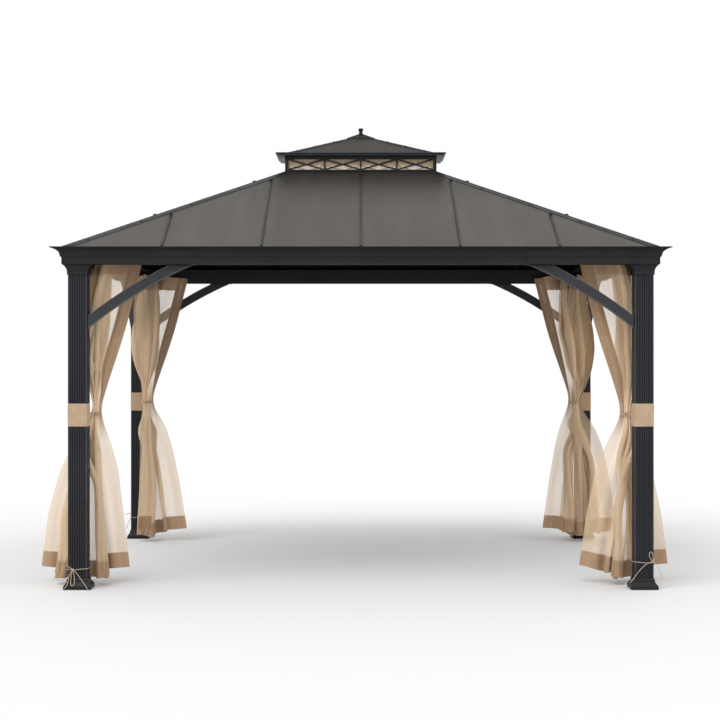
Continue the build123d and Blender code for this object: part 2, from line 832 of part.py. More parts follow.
def cord(points):
    """A round cord along straight runs with rounded turns between them."""
    stops = [tie_point(*point) for point in points]
    radii = []
    for a, b, c in zip(stops, stops[1:], stops[2:]):
        half_turn = math.radians((b - a).get_angle(c - b)) / 2
        radii.append(bend_share * min((b - a).length, (c - b).length) / math.tan(half_turn))
    print("cord bends", [round(radius) for radius in radii])
    route = FilletPolyline(*stops, radius=radii)
    return sweep(Plane(route @ 0, z_dir=route % 0) * Circle(cord_thick / 2), path=route)


def tie(layout):
    """The ring with its knot, and the four free cords, on the front-left post."""
    hug = post_size + cord_thick + 2 * fit
    path = Pos(-post_x, -post_y, layout["ring"]) * RectangleRounded(hug, hug, ring_round).wire()
    ring = sweep(Plane(path @ 0, z_dir=path % 0) * Circle(cord_thick / 2), path=path)
    knot = Pos(*tie_point(*layout["knot"])) * Sphere(knot_size / 2)
    around = Pos(*tie_point(*layout["knot"])) * Sphere(knot_size / 2 + fit)
    post_space = box_between(
        (-half_x, -half_y, 0), (-half_x + post_size, -half_y + post_size, cornice_low)
    )
    whole = ring + (knot - post_space)
    cords = [cord(layout[name]) - around for name in ["loop", "long_end", "short_end", "strand"]]
    return whole, Compound([solid for shape in cords for solid in shape.solids()])


near_ring, near_cords = tie(near_tie)
far_ring, far_cords = tie(far_tie)
for kind, near, far in [("tie", near_ring, far_ring), ("tie_ends", near_cords, far_cords)]:
    save(f"{kind}_front_left", near)
    save(f"{kind}_front_right", across(far))
    save(f"{kind}_back_left", behind(far))
    save(f"{kind}_back_right", across(behind(near)))
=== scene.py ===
# %% [markdown]
# # A metal gazebo, dressed
# The metal frame comes ready made: posts, cornice, braces, roof and vent, each a solid in its own
# place. This lesson gives each of them its finish and then makes the soft pieces that a solid
# modeller can't: netting gathered at the posts, straps, tie cords, and the small fittings.
# Every length is in metres, and the front of the gazebo faces -Y.

# %% Load the frame
import math

import bpy
import numpy as np
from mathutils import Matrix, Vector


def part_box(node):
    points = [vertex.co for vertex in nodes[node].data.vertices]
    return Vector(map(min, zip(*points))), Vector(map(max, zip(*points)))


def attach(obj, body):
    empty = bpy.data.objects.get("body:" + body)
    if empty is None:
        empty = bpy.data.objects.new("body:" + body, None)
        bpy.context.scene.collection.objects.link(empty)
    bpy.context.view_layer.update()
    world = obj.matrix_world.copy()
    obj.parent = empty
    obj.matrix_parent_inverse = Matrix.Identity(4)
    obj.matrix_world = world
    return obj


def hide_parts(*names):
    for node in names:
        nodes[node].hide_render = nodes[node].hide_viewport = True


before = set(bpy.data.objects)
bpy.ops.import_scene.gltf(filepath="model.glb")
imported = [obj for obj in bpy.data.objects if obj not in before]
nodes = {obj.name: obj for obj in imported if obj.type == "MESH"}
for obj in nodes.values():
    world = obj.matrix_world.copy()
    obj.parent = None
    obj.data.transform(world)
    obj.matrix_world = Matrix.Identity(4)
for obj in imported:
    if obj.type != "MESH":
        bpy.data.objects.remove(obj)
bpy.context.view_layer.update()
print("frame:", len(nodes), "nodes")

# %% [markdown]
# ## Camera
# The picture was taken level, from eye height and from far off, so upright posts stay upright. A
# camera tilted at the roof would frame it too, but its posts would lean. A level one with a long
# lens and a small shift gives the same view: the horizon lies just above the middle.

# %% Camera
picture_side = 720
focal_pixels = 1690
horizon_row = 352.3
middle_column = 360.8
eye = (0.0, -11.44, 1.405)

camera_data = bpy.data.cameras.new("camera")
camera_data.sensor_width = 36.0
camera_data.lens = focal_pixels / picture_side * camera_data.sensor_width
camera_data.shift_x = (picture_side / 2 - middle_column) / picture_side
camera_data.shift_y = (horizon_row - picture_side / 2) / picture_side
camera = bpy.data.objects.new("camera", camera_data)
camera.location = eye
camera.rotation_euler = (math.pi / 2, 0, 0)
bpy.context.scene.collection.objects.link(camera)
bpy.context.scene.camera = camera
print("camera lens", round(camera_data.lens, 1), "mm")

# %% [markdown]
# ## Floor and light
# A pale floor and a white surround stand for the studio. A wide sun from above the front left
# gives the cornice its highlights, and a weaker one on the right opens the shadows. Lamps with a
# size and a place would be softer still, but they leave the far floor dark. Suns light it as much
# as the near floor, so floor and surround meet without a line.

# %% Floor and light
floor_reach = 60.0


def pale_floor():
    """A square of floor: the four corners of a grid of two by two points at height zero."""
    mesh = bpy.data.meshes.new("floor")
    r = floor_reach
    mesh.from_pydata([(-r, -r, 0), (r, -r, 0), (r, r, 0), (-r, r, 0)], [], [(0, 1, 2, 3)])
    floor = bpy.data.objects.new("floor", mesh)
    bpy.context.scene.collection.objects.link(floor)
    paint = bpy.data.materials.new("floor")
    paint.use_nodes = True
    shader = paint.node_tree.nodes["Principled BSDF"]
    shader.inputs["Base Color"].default_value = (0.70, 0.70, 0.70, 1)
    shader.inputs["Roughness"].default_value = 0.9
    mesh.materials.append(paint)


def soft_sun(name, tip, turn, spread, strength):
    """A sun so wide that its shadows are soft: tipped from straight down, then turned, in degrees."""
    lamp = bpy.data.lights.new(name, "SUN")
    lamp.angle = math.radians(spread)
    lamp.energy = strength
    holder = bpy.data.objects.new(name, lamp)
    holder.rotation_euler = (math.radians(tip), 0, math.radians(turn))
    bpy.context.scene.collection.objects.link(holder)


pale_floor()
soft_sun("key", 42, -34, 50, 1.5)
soft_sun("fill", 58, 48, 80, 0.5)
world = bpy.data.worlds.new("studio")
world.use_nodes = True
world.node_tree.nodes["Background"].inputs["Color"].default_value = (1, 1, 1, 1)
world.node_tree.nodes["Background"].inputs["Strength"].default_value = 1.0
bpy.context.scene.world = world
bpy.context.scene.view_settings.view_transform = "Standard"
print("lamps and floor set")

# %% [markdown]
# ## Building materials from nodes
# Every finish here is made of the same few nodes: a texture of noise decides the tone, a finer
# one the roughness and the bump. Pictures of real metal and cloth could do the same, but noise
# needs no files and never repeats. A small class keeps the wiring short.

# %% A small wiring helper


def tone(red, green, blue):
    """A screen colour from 0 to 255 as the linear colour that shaders use."""
    c = np.array([red, green, blue]) / 255
    linear = np.where(c <= 0.04045, c / 12.92, ((c + 0.055) / 1.055) ** 2.4)
    return (*linear.tolist(), 1.0)


class Finish:
    """A material with its shader, and short ways to add the nodes that feed it."""

    def __init__(self, name):
        self.material = bpy.data.materials.new(name)
        self.material.use_nodes = True
        self.tree = self.material.node_tree
        self.shader = self.tree.nodes["Principled BSDF"]
        self.where = self.tree.nodes.new("ShaderNodeTexCoord")

    def link(self, source, target):
        """A wire from a node's output to another's input."""
        self.tree.links.new(source, target)

    def feed(self, socket, value):
        """A number or a colour set on an input, or a wire from another node's output."""
        if isinstance(value, bpy.types.NodeSocket):
            self.link(value, socket)
        else:
            socket.default_value = value

    def node(self, kind, **settings):
        """A new shader node of a kind, with its settings."""
        made = self.tree.nodes.new("ShaderNode" + kind)
        for key, value in settings.items():
            setattr(made, key, value)
        return made

    def axes(self, vector):
        """The three numbers of a vector, each as an output of its own."""
        split = self.node("SeparateXYZ")
        self.link(vector, split.inputs["Vector"])
        return split.outputs["X"], split.outputs["Y"], split.outputs["Z"]

    def stretched(self, stretch, source):
        """Coordinates multiplied by a stretch along each axis."""
        mapping = self.node("Mapping")
        mapping.inputs["Scale"].default_value = stretch
        self.link(self.where.outputs[source], mapping.inputs["Vector"])
        return mapping.outputs["Vector"]

    def noise(self, scale, detail, stretch=(1, 1, 1), source="Object"):
        """Soft random values: a larger scale gives finer ones, more detail gives rougher ones."""
        texture = self.node("TexNoise")
        texture.inputs["Scale"].default_value = scale
        texture.inputs["Detail"].default_value = detail
        self.link(self.stretched(stretch, source), texture.inputs["Vector"])
        return texture.outputs["Fac"]

    def ranged(self, value, low, high, to_low, to_high, smooth=False):
        """A value moved from one range to another, and kept inside it."""
        change = self.node("MapRange", interpolation_type="SMOOTHSTEP" if smooth else "LINEAR")
        for key, number in [("From Min", low), ("From Max", high), ("To Min", to_low), ("To Max", to_high)]:
            change.inputs[key].default_value = number
        self.link(value, change.inputs["Value"])
        return change.outputs["Result"]

    def ramp(self, value, stops):
        """Two colours at two places along a value, and the blend between them."""
        colours = self.node("ValToRGB")
        for element, (place, colour) in zip(colours.color_ramp.elements, stops):
            element.position = place
            element.color = colour
        self.link(value, colours.inputs["Fac"])
        return colours.outputs["Color"]

    def mixed(self, share, first, second):
        """Two colours mixed; each may be a colour or another node's output."""
        mix = self.node("Mix", data_type="RGBA")
        for number, value in [(0, share), (6, first), (7, second)]:
            self.feed(mix.inputs[number], value)
        return mix.outputs[2]

    def maths(self, operation, first, second):
        """One operation on two numbers; each may be a number or another node's output."""
        work = self.node("Math", operation=operation)
        self.feed(work.inputs[0], first)
        self.feed(work.inputs[1], second)
        return work.outputs[0]

    def weighed(self, first, share, second):
        """Two values added in proportion: a share of the first and the rest of the second."""
        rest = self.maths("MULTIPLY", second, 1 - share)
        return self.maths("ADD", self.maths("MULTIPLY", first, share), rest)

    def bump(self, height, strength, distance):
        """Small hills and dents in the light: a height value, how strong, and how high in metres."""
        bump = self.node("Bump")
        bump.inputs["Strength"].default_value = strength
        bump.inputs["Distance"].default_value = distance
        self.link(height, bump.inputs["Height"])
        self.link(bump.outputs["Normal"], self.shader.inputs["Normal"])


print("a mid grey in linear light:", round(tone(128, 128, 128)[0], 3))

# %% [markdown]
# ## Powder coat on the frame
# The posts, cornice, braces and vent are steel under a charcoal powder coat: a satin skin with a
# very fine orange peel, a little uneven in tone. Large soft noise moves the tone, and fine noise
# makes the peel. Flutes, ribs and joints get painted shade: the less open sky a point sees within a
# centimetre, the closer its colour is drawn to a near-black tone.
# Undersides below the eaves are dull with dust, or they would mirror the pale floor.

# %% Powder coat
# Painted shade: the near-black tone and the reach of the ambient occlusion that draws it into hollows
crevice_shade_tone = tone(5, 5, 6)
crevice_shade_reach = 0.012
dust_full, dust_gone = 2.2, 2.3


def powder_coat(name, dark, light, roughness, full_shade_below=0.35):
    """Tone: broad clouds and fine specks, darkened toward a painted crevice shade where little sky shows.

    Gloss: slow noise round the roughness, and none on faces that look down below the eaves.
    """
    finish = Finish(name)
    grain = finish.weighed(finish.noise(2.2, 4.0), 0.7, finish.noise(900.0, 2.0))
    coat = finish.ramp(grain, [(0.3, dark), (0.7, light)])
    # Painted shade: ambient occlusion darkens flutes, ribs and joints toward the near-black tone
    shelter = finish.node("AmbientOcclusion", samples=8)
    shelter.inputs["Distance"].default_value = crevice_shade_reach
    unshaded_share = finish.ranged(shelter.outputs["AO"], full_shade_below, 0.9, 0, 1)
    finish.link(finish.mixed(unshaded_share, crevice_shade_tone, coat), finish.shader.inputs["Base Color"])
    gloss = finish.ranged(finish.noise(6.0, 5.0), 0.3, 0.7, roughness - 0.06, roughness + 0.08)
    facing_up = finish.axes(finish.node("NewGeometry").outputs["Normal"])[2]
    height = finish.axes(finish.where.outputs["Object"])[2]
    underside = finish.ranged(facing_up, -0.9, -0.6, 1, 0)
    below_eaves = finish.ranged(height, dust_full, dust_gone, 1, 0)
    dust = finish.maths("MULTIPLY", underside, below_eaves)
    finish.link(finish.maths("MAXIMUM", gloss, dust), finish.shader.inputs["Roughness"])
    finish.shader.inputs["Specular IOR Level"].default_value = 0.24
    finish.bump(finish.noise(1400.0, 2.0), 0.12, 0.0004)
    return finish.material


frame_coat = powder_coat("charcoal_coat", tone(17, 18, 21), tone(26, 27, 31), 0.46)
# Lighter copies of the charcoal coat: painted highlight on the ridges of the fluted posts and ribbed braces
highlit_fluted_coat = powder_coat("highlit_fluted_coat", tone(34, 36, 41), tone(46, 48, 55), 0.4)
highlit_ribbed_coat = powder_coat("highlit_ribbed_coat", tone(60, 61, 65), tone(72, 73, 78), 0.4, 0.76)
seal_coat = powder_coat("seal_coat", tone(4, 4, 5), tone(7, 7, 8), 0.7)
rail_coat = powder_coat("rail_coat", tone(15, 15, 17), tone(22, 22, 24), 0.5)
print("made", frame_coat.name, highlit_fluted_coat.name, highlit_ribbed_coat.name, seal_coat.name, rail_coat.name)

# %% [markdown]
# ## Coated sheet on the roof
# The roof sheets carry a warm grey coat with a low sheen. Rain and dust leave faint streaks that
# run down the slope. Towards the vent and above it, painted shade stands for the upper roof's shadow.
# Streaks could be painted by hand; noise drawn out along the slope gives them to every sheet at
# once. Thin sheet is never quite flat, so a broad, shallow bump bends the reflections a little.

# %% Roof sheet
# Painted shade: the dark tone of the upper roof's shadow, and the heights over which it comes in
vent_shade_tone = tone(34, 32, 30)
vent_shade_from, vent_shade_full = 2.28, 2.63


def roof_coat(name, dark, light, down):
    """Streaks are noise drawn out along the slope: down gives the stretch along each axis."""
    finish = Finish(name)
    streak = finish.noise(9.0, 5.0, down)
    weather = finish.weighed(streak, 0.45, finish.noise(1.3, 3.0))
    height = finish.axes(finish.where.outputs["Object"])[2]
    # Painted shade: drawn in smoothly from 2.28 m up to 2.63 m and held above, on every roof coat
    vent_shade = finish.ranged(height, vent_shade_from, vent_shade_full, 0.0, 0.8, smooth=True)
    worn = finish.ramp(weather, [(0.32, dark), (0.68, light)])
    finish.link(finish.mixed(vent_shade, worn, vent_shade_tone), finish.shader.inputs["Base Color"])
    finish.link(finish.ranged(streak, 0.3, 0.7, 0.40, 0.54), finish.shader.inputs["Roughness"])
    finish.shader.inputs["Specular IOR Level"].default_value = 0.3
    finish.bump(finish.noise(3.0, 2.0), 0.2, 0.006)
    return finish.material


roof_dark, roof_light = tone(57, 53, 48), tone(67, 63, 58)
front_coat = roof_coat("roof_coat_front", roof_dark, roof_light, (1.0, 0.12, 0.12))
side_coat = roof_coat("roof_coat_side", roof_dark, roof_light, (0.12, 1.0, 0.12))
upper_coat = roof_coat("roof_coat_upper", tone(70, 62, 56), tone(82, 74, 68), (1.0, 0.3, 0.3))
eave_coat = powder_coat("eave_coat", tone(50, 52, 58), tone(62, 64, 70), 0.42)
trim_coat = powder_coat("roof_trim", tone(26, 26, 28), tone(36, 36, 38), 0.44)
print("made", front_coat.name, side_coat.name, upper_coat.name, eave_coat.name, trim_coat.name)

# %% [markdown]
# ## Netting, straps and cords
# The netting is a beige mesh, so fine that it reads as a veil: it lets part of the light through,
# and where folds lie over each other it closes up. Modelling its threads would take millions of
# faces, so the finish is partly clear instead. A woven band runs along the top, the bottom and the
# free edge. The sheet's own UV map says how far along the cloth a point is, so the bands follow
# every fold.

# %% Soft finishes
net_tone = tone(232, 208, 177)
net_shade = tone(214, 186, 152)
band_tone = tone(182, 152, 122)
band_shade = tone(160, 131, 102)
edge_tone = tone(164, 136, 107)
edge_shade = tone(142, 115, 88)
woven_cover = 0.97
strap_share = 0.511


def netting_cloth(name, width, height, head, hem, edge, veil, bunch):
    """Steps in U and V mark the woven bands: head, hem and edge metres from the borders.

    The band along the upright edge fades below the middle, where the edge turns under. At the
    strap the cloth is bunched too tightly to see through.
    """
    finish = Finish(name)
    across, up, _ = finish.axes(finish.where.outputs["UV"])
    step = 0.002
    top = finish.ranged(up, 1 - head / height - step, 1 - head / height + step, 0, 1)
    low = finish.ranged(up, hem / height - step, hem / height + step, 1, 0)
    side = finish.ranged(across, 1 - edge / width - step, 1 - edge / width + step, 0, 1)
    edging = finish.maths("MULTIPLY", side, finish.ranged(up, 0.42, 0.56, 0.15, 1.0))
    border = finish.maths("MAXIMUM", finish.maths("MAXIMUM", top, low), edging)
    crease = finish.noise(1.0, 4.0, (width * 40, height * 1.6, 1), "UV")
    weave = finish.noise(1.0, 3.0, (width * 300, height * 20, 1), "UV")
    grain = finish.weighed(weave, 0.4, crease)
    net = finish.ramp(grain, [(0.3, net_shade), (0.7, net_tone)])
    woven = finish.ramp(grain, [(0.3, band_shade), (0.7, band_tone)])
    doubled = finish.ramp(grain, [(0.3, edge_shade), (0.7, edge_tone)])
    doubling = finish.maths("MAXIMUM", edging, finish.maths("MULTIPLY", low, 0.6))
    banded = finish.mixed(doubling, finish.mixed(border, net, woven), doubled)
    finish.link(banded, finish.shader.inputs["Base Color"])
    open_net = finish.ranged(grain, 0.3, 0.7, veil + 0.12, veil - 0.08)
    from_strap = finish.maths("ABSOLUTE", finish.maths("SUBTRACT", up, strap_share), 0)
    bunched = finish.ranged(from_strap, 0.01, 0.17, bunch, 0, smooth=True)
    solid = finish.maths("MULTIPLY", border, woven_cover - veil)
    total = finish.maths("MAXIMUM", finish.maths("ADD", solid, open_net), bunched)
    finish.link(finish.ranged(total, 0, 1, 0, 1), finish.shader.inputs["Alpha"])
    finish.shader.inputs["Roughness"].default_value = 0.85
    finish.shader.inputs["Sheen Weight"].default_value = 0.15
    finish.shader.inputs["Specular IOR Level"].default_value = 0.1
    finish.bump(finish.maths("ADD", crease, finish.maths("MULTIPLY", weave, 0.2)), 0.35, 0.004)
    return finish.material


def woven_cloth(name, dark, light, fine):
    """Threads both ways: noise drawn out one way times noise drawn out the other."""
    finish = Finish(name)
    warp = finish.noise(fine, 2.0, (1, 1, 0.1))
    weft = finish.noise(fine, 2.0, (0.1, 0.1, 1))
    threads = finish.maths("MULTIPLY", warp, weft)
    cloud = finish.noise(14.0, 3.0)
    both = finish.maths("ADD", threads, finish.maths("MULTIPLY", cloud, 0.4))
    finish.link(finish.ramp(both, [(0.3, dark), (0.62, light)]), finish.shader.inputs["Base Color"])
    finish.shader.inputs["Roughness"].default_value = 0.9
    finish.shader.inputs["Sheen Weight"].default_value = 0.2
    finish.shader.inputs["Specular IOR Level"].default_value = 0.15
    finish.bump(threads, 0.4, 0.0012)
    return finish.material


strap_cloth = woven_cloth("strap_cloth", tone(160, 136, 111), tone(180, 156, 129), 420.0)
cord_cloth = woven_cloth("cord_cloth", tone(165, 148, 126), tone(188, 172, 152), 700.0)
print("made", strap_cloth.name, cord_cloth.name)

# %% [markdown]
# ## Dressing the metal
# Each solid of the frame keeps its shape and takes a finish by its name. Finishes could be given
# one by one in the window; a table does it again each time the frame is built anew.

# %% Finishes for the frame's own nodes
finish_by_node = {
    "roof_front": front_coat,
    "roof_back": front_coat,
    "roof_left": side_coat,
    "roof_right": side_coat,
    "roof_seams": trim_coat,
    "hip_caps": trim_coat,
    "upper_roof_long": upper_coat,
    "upper_roof_short": upper_coat,
    "upper_hip_caps": trim_coat,
    "roof_crown": trim_coat,
    "upper_cornice_long": eave_coat,
    "upper_cornice_short": eave_coat,
    "curtain_rails": rail_coat,
    "straps": strap_cloth,
    "vent_netting": strap_cloth,
}


def finish_for(name):
    """The finish of a kind of node, or of one node, or else the frame's own coat."""
    if name.startswith(("netting", "tie")):
        return cord_cloth
    if name.startswith("post"):
        return highlit_fluted_coat
    if name.startswith("braces"):
        return highlit_ribbed_coat
    return finish_by_node.get(name, frame_coat)


for name, node in nodes.items():
    node.data.materials.clear()
    node.data.materials.append(finish_for(name))
print("dressed", len(nodes), "nodes")

# %% [markdown]
# ## Surfaces from grids
# Every new piece below is a grid of points worked out by a formula. The same shapes could be pulled
# by hand, but a formula can be read, changed and run again. One helper turns a grid into a mesh:
# each point is joined to its neighbours in its row and its column, and the last row or column may
# be joined back to the first.

# %% Grids to meshes


def grid_faces(rows, columns, close_rows, close_columns):
    """Corner numbers of the squares between neighbouring rows and columns of a grid."""
    i = np.arange(rows if close_rows else rows - 1)[:, None]
    j = np.arange(columns if close_columns else columns - 1)[None, :]
    i_next = (i + 1) % rows
    j_next = (j + 1) % columns
    square = [i * columns + j, i * columns + j_next, i_next * columns + j_next, i_next * columns + j]
    return np.stack(np.broadcast_arrays(*square), axis=-1).reshape(-1, 4)


def mesh_piece(name, points, faces, finish, uv=None):
    """A smooth mesh object at the origin, with one UV pair for each point where given."""
    mesh = bpy.data.meshes.new(name)
    mesh.from_pydata(points.reshape(-1, 3).tolist(), [], faces.tolist())
    mesh.polygons.foreach_set("use_smooth", np.ones(len(mesh.polygons), bool))
    if uv is not None:
        corners = np.zeros(len(mesh.loops), np.int32)
        mesh.loops.foreach_get("vertex_index", corners)
        layer = mesh.uv_layers.new(name="cloth")
        layer.data.foreach_set("uv", uv.reshape(-1, 2)[corners].ravel())
    mesh.materials.append(finish)
    mesh.update()
    piece = bpy.data.objects.new(name, mesh)
    bpy.context.scene.collection.objects.link(piece)
    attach(piece, "root")
    return piece


def grid_piece(name, points, finish, close_rows=False, close_columns=False, uv=None):
    """One grid of points as a piece."""
    rows, columns = points.shape[:2]
    return mesh_piece(name, points, grid_faces(rows, columns, close_rows, close_columns), finish, uv)


print("a grid of 3 by 4 points has", len(grid_faces(3, 4, False, False)), "squares")

# %% [markdown]
# ## Corners
# The gazebo is the same at its four corners, so soft pieces are described at the front left post,
# as distances in from its outer faces, and carried to the others by a change of sign. Linked copies
# with a mirror would be less to write, but here no two corners are dressed quite alike.

# %% Places at a corner
post_low, post_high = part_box("post_front_left")
half_x, half_y = -post_low[0], -post_low[1]
post_size = post_high[0] - post_low[0]
corner_signs = {
    "front_left": (-1, -1),
    "front_right": (1, -1),
    "back_left": (-1, 1),
    "back_right": (1, 1),
}


def at_corner(corner, in_x, in_y, up):
    """Distances in from the two outer faces of a post, and a height, as points."""
    sign_x, sign_y = corner_signs[corner]
    x = sign_x * (half_x - np.asarray(in_x, float))
    y = sign_y * (half_y - np.asarray(in_y, float))
    return np.stack(np.broadcast_arrays(x, y, np.asarray(up, float)), axis=-1)


print("post", round(post_size, 3), "m square at", round(half_x, 3), round(half_y, 3))

# %% [markdown]
# ## Tie cords
# At the foot of each post a thin cord holds the netting: a ring round the post with a knot, a
# loop and two ends that hang from the knot, and a strand that leads to the hem. Each free stretch
# has a route of a few points, read from the photo: how far in along the front, how far out from it,
# and the height.

# %% Routes of the cords
near_routes = {
    "loop": [
        (0.028, 0.010, 0.112),
        (0.021, 0.012, 0.082),
        (0.019, 0.015, 0.054),
        (0.021, 0.029, 0.027),
        (0.040, 0.030, 0.024),
        (0.043, 0.017, 0.052),
        (0.039, 0.012, 0.082),
        (0.033, 0.010, 0.112),
    ],
    "long_end": [
        (0.036, 0.009, 0.117),
        (0.062, 0.011, 0.088),
        (0.084, 0.015, 0.056),
        (0.104, 0.029, 0.032),
        (0.118, 0.034, 0.012),
        (0.128, 0.046, 0.004),
    ],
    "short_end": [
        (0.024, 0.009, 0.115),
        (0.010, 0.011, 0.088),
        (0.005, 0.015, 0.056),
        (0.001, 0.030, 0.030),
        (-0.013, 0.034, 0.012),
        (-0.026, 0.040, 0.004),
    ],
    "strand": [
        (0.026, 0.008, 0.123),
        (0.009, 0.006, 0.133),
        (-0.0045, 0.0045, 0.139),
        (-0.006, -0.014, 0.144),
        (-0.007, -0.034, 0.150),
        (-0.006, -0.058, 0.155),
        (-0.009, -0.102, 0.165),
        (-0.012, -0.152, 0.172),
        (-0.018, -0.192, 0.176),
        (-0.024, -0.222, 0.179),
    ],
}
far_routes = {
    "loop": [
        (0.005, 0.009, 0.170),
        (0.005, 0.013, 0.200),
        (0.014, 0.014, 0.226),
        (0.028, 0.014, 0.221),
        (0.029, 0.012, 0.196),
        (0.011, 0.009, 0.168),
    ],
    "long_end": [
        (0.014, 0.009, 0.165),
        (0.038, 0.008, 0.158),
        (0.066, 0.009, 0.134),
        (0.094, 0.010, 0.104),
        (0.124, 0.014, 0.062),
        (0.143, 0.016, 0.042),
    ],
    "short_end": [
        (0.001, 0.009, 0.163),
        (-0.014, 0.009, 0.148),
        (-0.029, 0.010, 0.124),
        (-0.042, 0.012, 0.094),
        (-0.052, 0.016, 0.062),
    ],
    "strand": [
        (0.002, 0.007, 0.172),
        (-0.006, -0.004, 0.180),
        (-0.006, -0.022, 0.182),
        (-0.006, -0.052, 0.184),
        (-0.009, -0.102, 0.188),
        (-0.012, -0.152, 0.190),
        (-0.018, -0.192, 0.192),
        (-0.024, -0.222, 0.194),
    ],
}
routes_by_corner = {
    "front_left": near_routes,
    "front_right": far_routes,
    "back_left": far_routes,
    "back_right": near_routes,
}
print("routes", sum(len(routes) for routes in routes_by_corner.values()))

# %% [markdown]
# ### Cords along the routes
# The cord is limp and four millimetres thick. A tube of faces could follow the route, but a curve
# with its own bevel is rounder and stays easy to move: each route's points steer it.

# %% Tie cords
cord_width = 0.004


def free_cord(name, points):
    """One smooth curve with the route's points as its control points, and a round bevel."""
    data = bpy.data.curves.new(name, "CURVE")
    data.dimensions = "3D"
    data.bevel_depth = cord_width / 2
    data.bevel_resolution = 3
    data.resolution_u = 8
    spline = data.splines.new("NURBS")
    spline.points.add(len(points) - 1)
    spline.points.foreach_set("co", np.c_[points, np.ones(len(points))].ravel())
    spline.order_u = 3
    spline.use_endpoint_u = True
    data.materials.append(cord_cloth)
    cord = bpy.data.objects.new(name, data)
    bpy.context.scene.collection.objects.link(cord)
    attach(cord, "root")
    return cord


def spline_length(cord):
    """The length of a curve's centreline: the sum of its short straight steps."""
    bare = cord.data.copy()
    bare.bevel_depth = 0
    holder = bpy.data.objects.new("bare", bare)
    mesh = bpy.data.meshes.new_from_object(holder)
    line = np.zeros(len(mesh.vertices) * 3)
    mesh.vertices.foreach_get("co", line)
    bpy.data.objects.remove(holder)
    bpy.data.meshes.remove(mesh)
    bpy.data.curves.remove(bare)
    return float(np.linalg.norm(np.diff(line.reshape(-1, 3), axis=0), axis=1).sum())


for corner, routes in routes_by_corner.items():
    for part, route in routes.items():
        in_x, out_y, up = np.array(route).T
        cord = free_cord(f"tie_{part}_{corner}", at_corner(corner, in_x, -out_y, up))
        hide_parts(f"tie_ends_{corner}")
        length = round(spline_length(cord), 3)
        tuple(at_corner(corner, in_x[0], -out_y[0], up[0]).tolist())
        print("cord", cord.name, length, "m")

# %% [markdown]
# ## Netting gathered at the posts
# Each side of the gazebo is closed by two halves of netting that hang from the rails. Drawn back
# to a post, a half is a hank of deep folds: loose at the rail, pinched by the strap at waist
# height, and flared again at the hem. A cloth simulation could gather it, but its folds are hard to
# steer and change with every try. A formula can be steered until the gather falls as in the photo.

# %% Size of the netting
net_top = 1.978
net_low = 0.045
head_band = 0.105
hem_band = 0.10
net_edge = 0.075
long_width = 1.15
short_width = 1.10
net_height = net_top - net_low
bands = (head_band, hem_band, net_edge)
net_veil = 0.55
net_bunch = 0.94
long_cloth = netting_cloth("netting_long", long_width, net_height, *bands, net_veil, net_bunch)
short_cloth = netting_cloth("netting_short", short_width, net_height, *bands, net_veil, net_bunch)
print("flat halves", long_width, "and", short_width, "by", round(net_height, 3), "m")

# %% [markdown]
# ### Guide lines
# At a dozen heights a straight guide says where the gathered cloth runs in plan. A row holds the
# height, the guide's middle along the rail and across it, in from the post's outer faces, its half
# length, and its turn in degrees away from the rail. One table serves the long rails and one the
# short, and a net that falls differently in the photo has some of its numbers replaced.

# %% Guide lines
long_sections = np.array([
    (1.978, 0.290, 0.140, 0.140, 0),
    (1.760, 0.245, 0.148, 0.134, 0),
    (1.570, 0.218, 0.152, 0.113, 0),
    (1.420, 0.194, 0.154, 0.090, 0),
    (1.245, 0.168, 0.157, 0.056, 5),
    (1.090, 0.152, 0.160, 0.026, 10),
    (1.033, 0.150, 0.160, 0.021, 12),
    (0.970, 0.154, 0.166, 0.030, 14),
    (0.830, 0.166, 0.188, 0.066, 16),
    (0.660, 0.176, 0.212, 0.095, 18),
    (0.380, 0.187, 0.240, 0.112, 20),
    (0.045, 0.201, 0.256, 0.133, 20),
])
short_sections = np.array([
    (1.978, 0.370, 0.140, 0.140, 0),
    (1.760, 0.350, 0.136, 0.118, 0),
    (1.570, 0.328, 0.132, 0.098, 0),
    (1.420, 0.304, 0.128, 0.078, -5),
    (1.245, 0.266, 0.122, 0.050, -15),
    (1.090, 0.226, 0.118, 0.026, -30),
    (1.033, 0.216, 0.118, 0.021, -40),
    (0.970, 0.222, 0.106, 0.032, -52),
    (0.830, 0.258, 0.044, 0.080, -64),
    (0.660, 0.286, -0.006, 0.104, -70),
    (0.380, 0.306, -0.054, 0.134, -72),
    (0.045, 0.320, -0.082, 0.150, -72),
])
strap_row = 6


def changed(sections, from_row, from_column, values):
    """A copy of a table whose last rows and columns are replaced."""
    copy = sections.copy()
    copy[from_row:, from_column:] = values
    return copy


# On the right the netting on the side flares less. At the back it is swung round to the front, to
# cover the post on the right and to fall straighter on the left, and the netting on the rear rail
# flares more
front_right_sections = changed(short_sections, 8, 1, [
    (0.264, 0.075, 0.070, -64),
    (0.296, 0.045, 0.096, -70),
    (0.318, 0.004, 0.118, -72),
    (0.332, -0.022, 0.135, -72),
])
back_right_sections = changed(short_sections, 0, 2, [
    (0.142, 0.140, -12),
    (0.140, 0.120, -30),
    (0.108, 0.112, -55),
    (0.084, 0.094, -62),
    (0.082, 0.068, -60),
    (0.098, 0.034, -50),
    (0.118, 0.021, -40),
    (0.110, 0.034, -52),
    (0.062, 0.080, -64),
    (0.040, 0.112, -70),
    (0.012, 0.136, -72),
    (-0.008, 0.152, -72),
])
back_left_sections = changed(short_sections, 0, 2, [
    (0.142, 0.140, -12),
    (0.144, 0.124, -40),
    (0.142, 0.112, -45),
    (0.136, 0.090, -45),
    (0.127, 0.056, -42),
    (0.118, 0.026, -40),
    (0.118, 0.021, -40),
    (0.122, 0.030, -36),
    (0.130, 0.058, -30),
    (0.134, 0.078, -26),
    (0.136, 0.092, -24),
    (0.138, 0.104, -24),
])
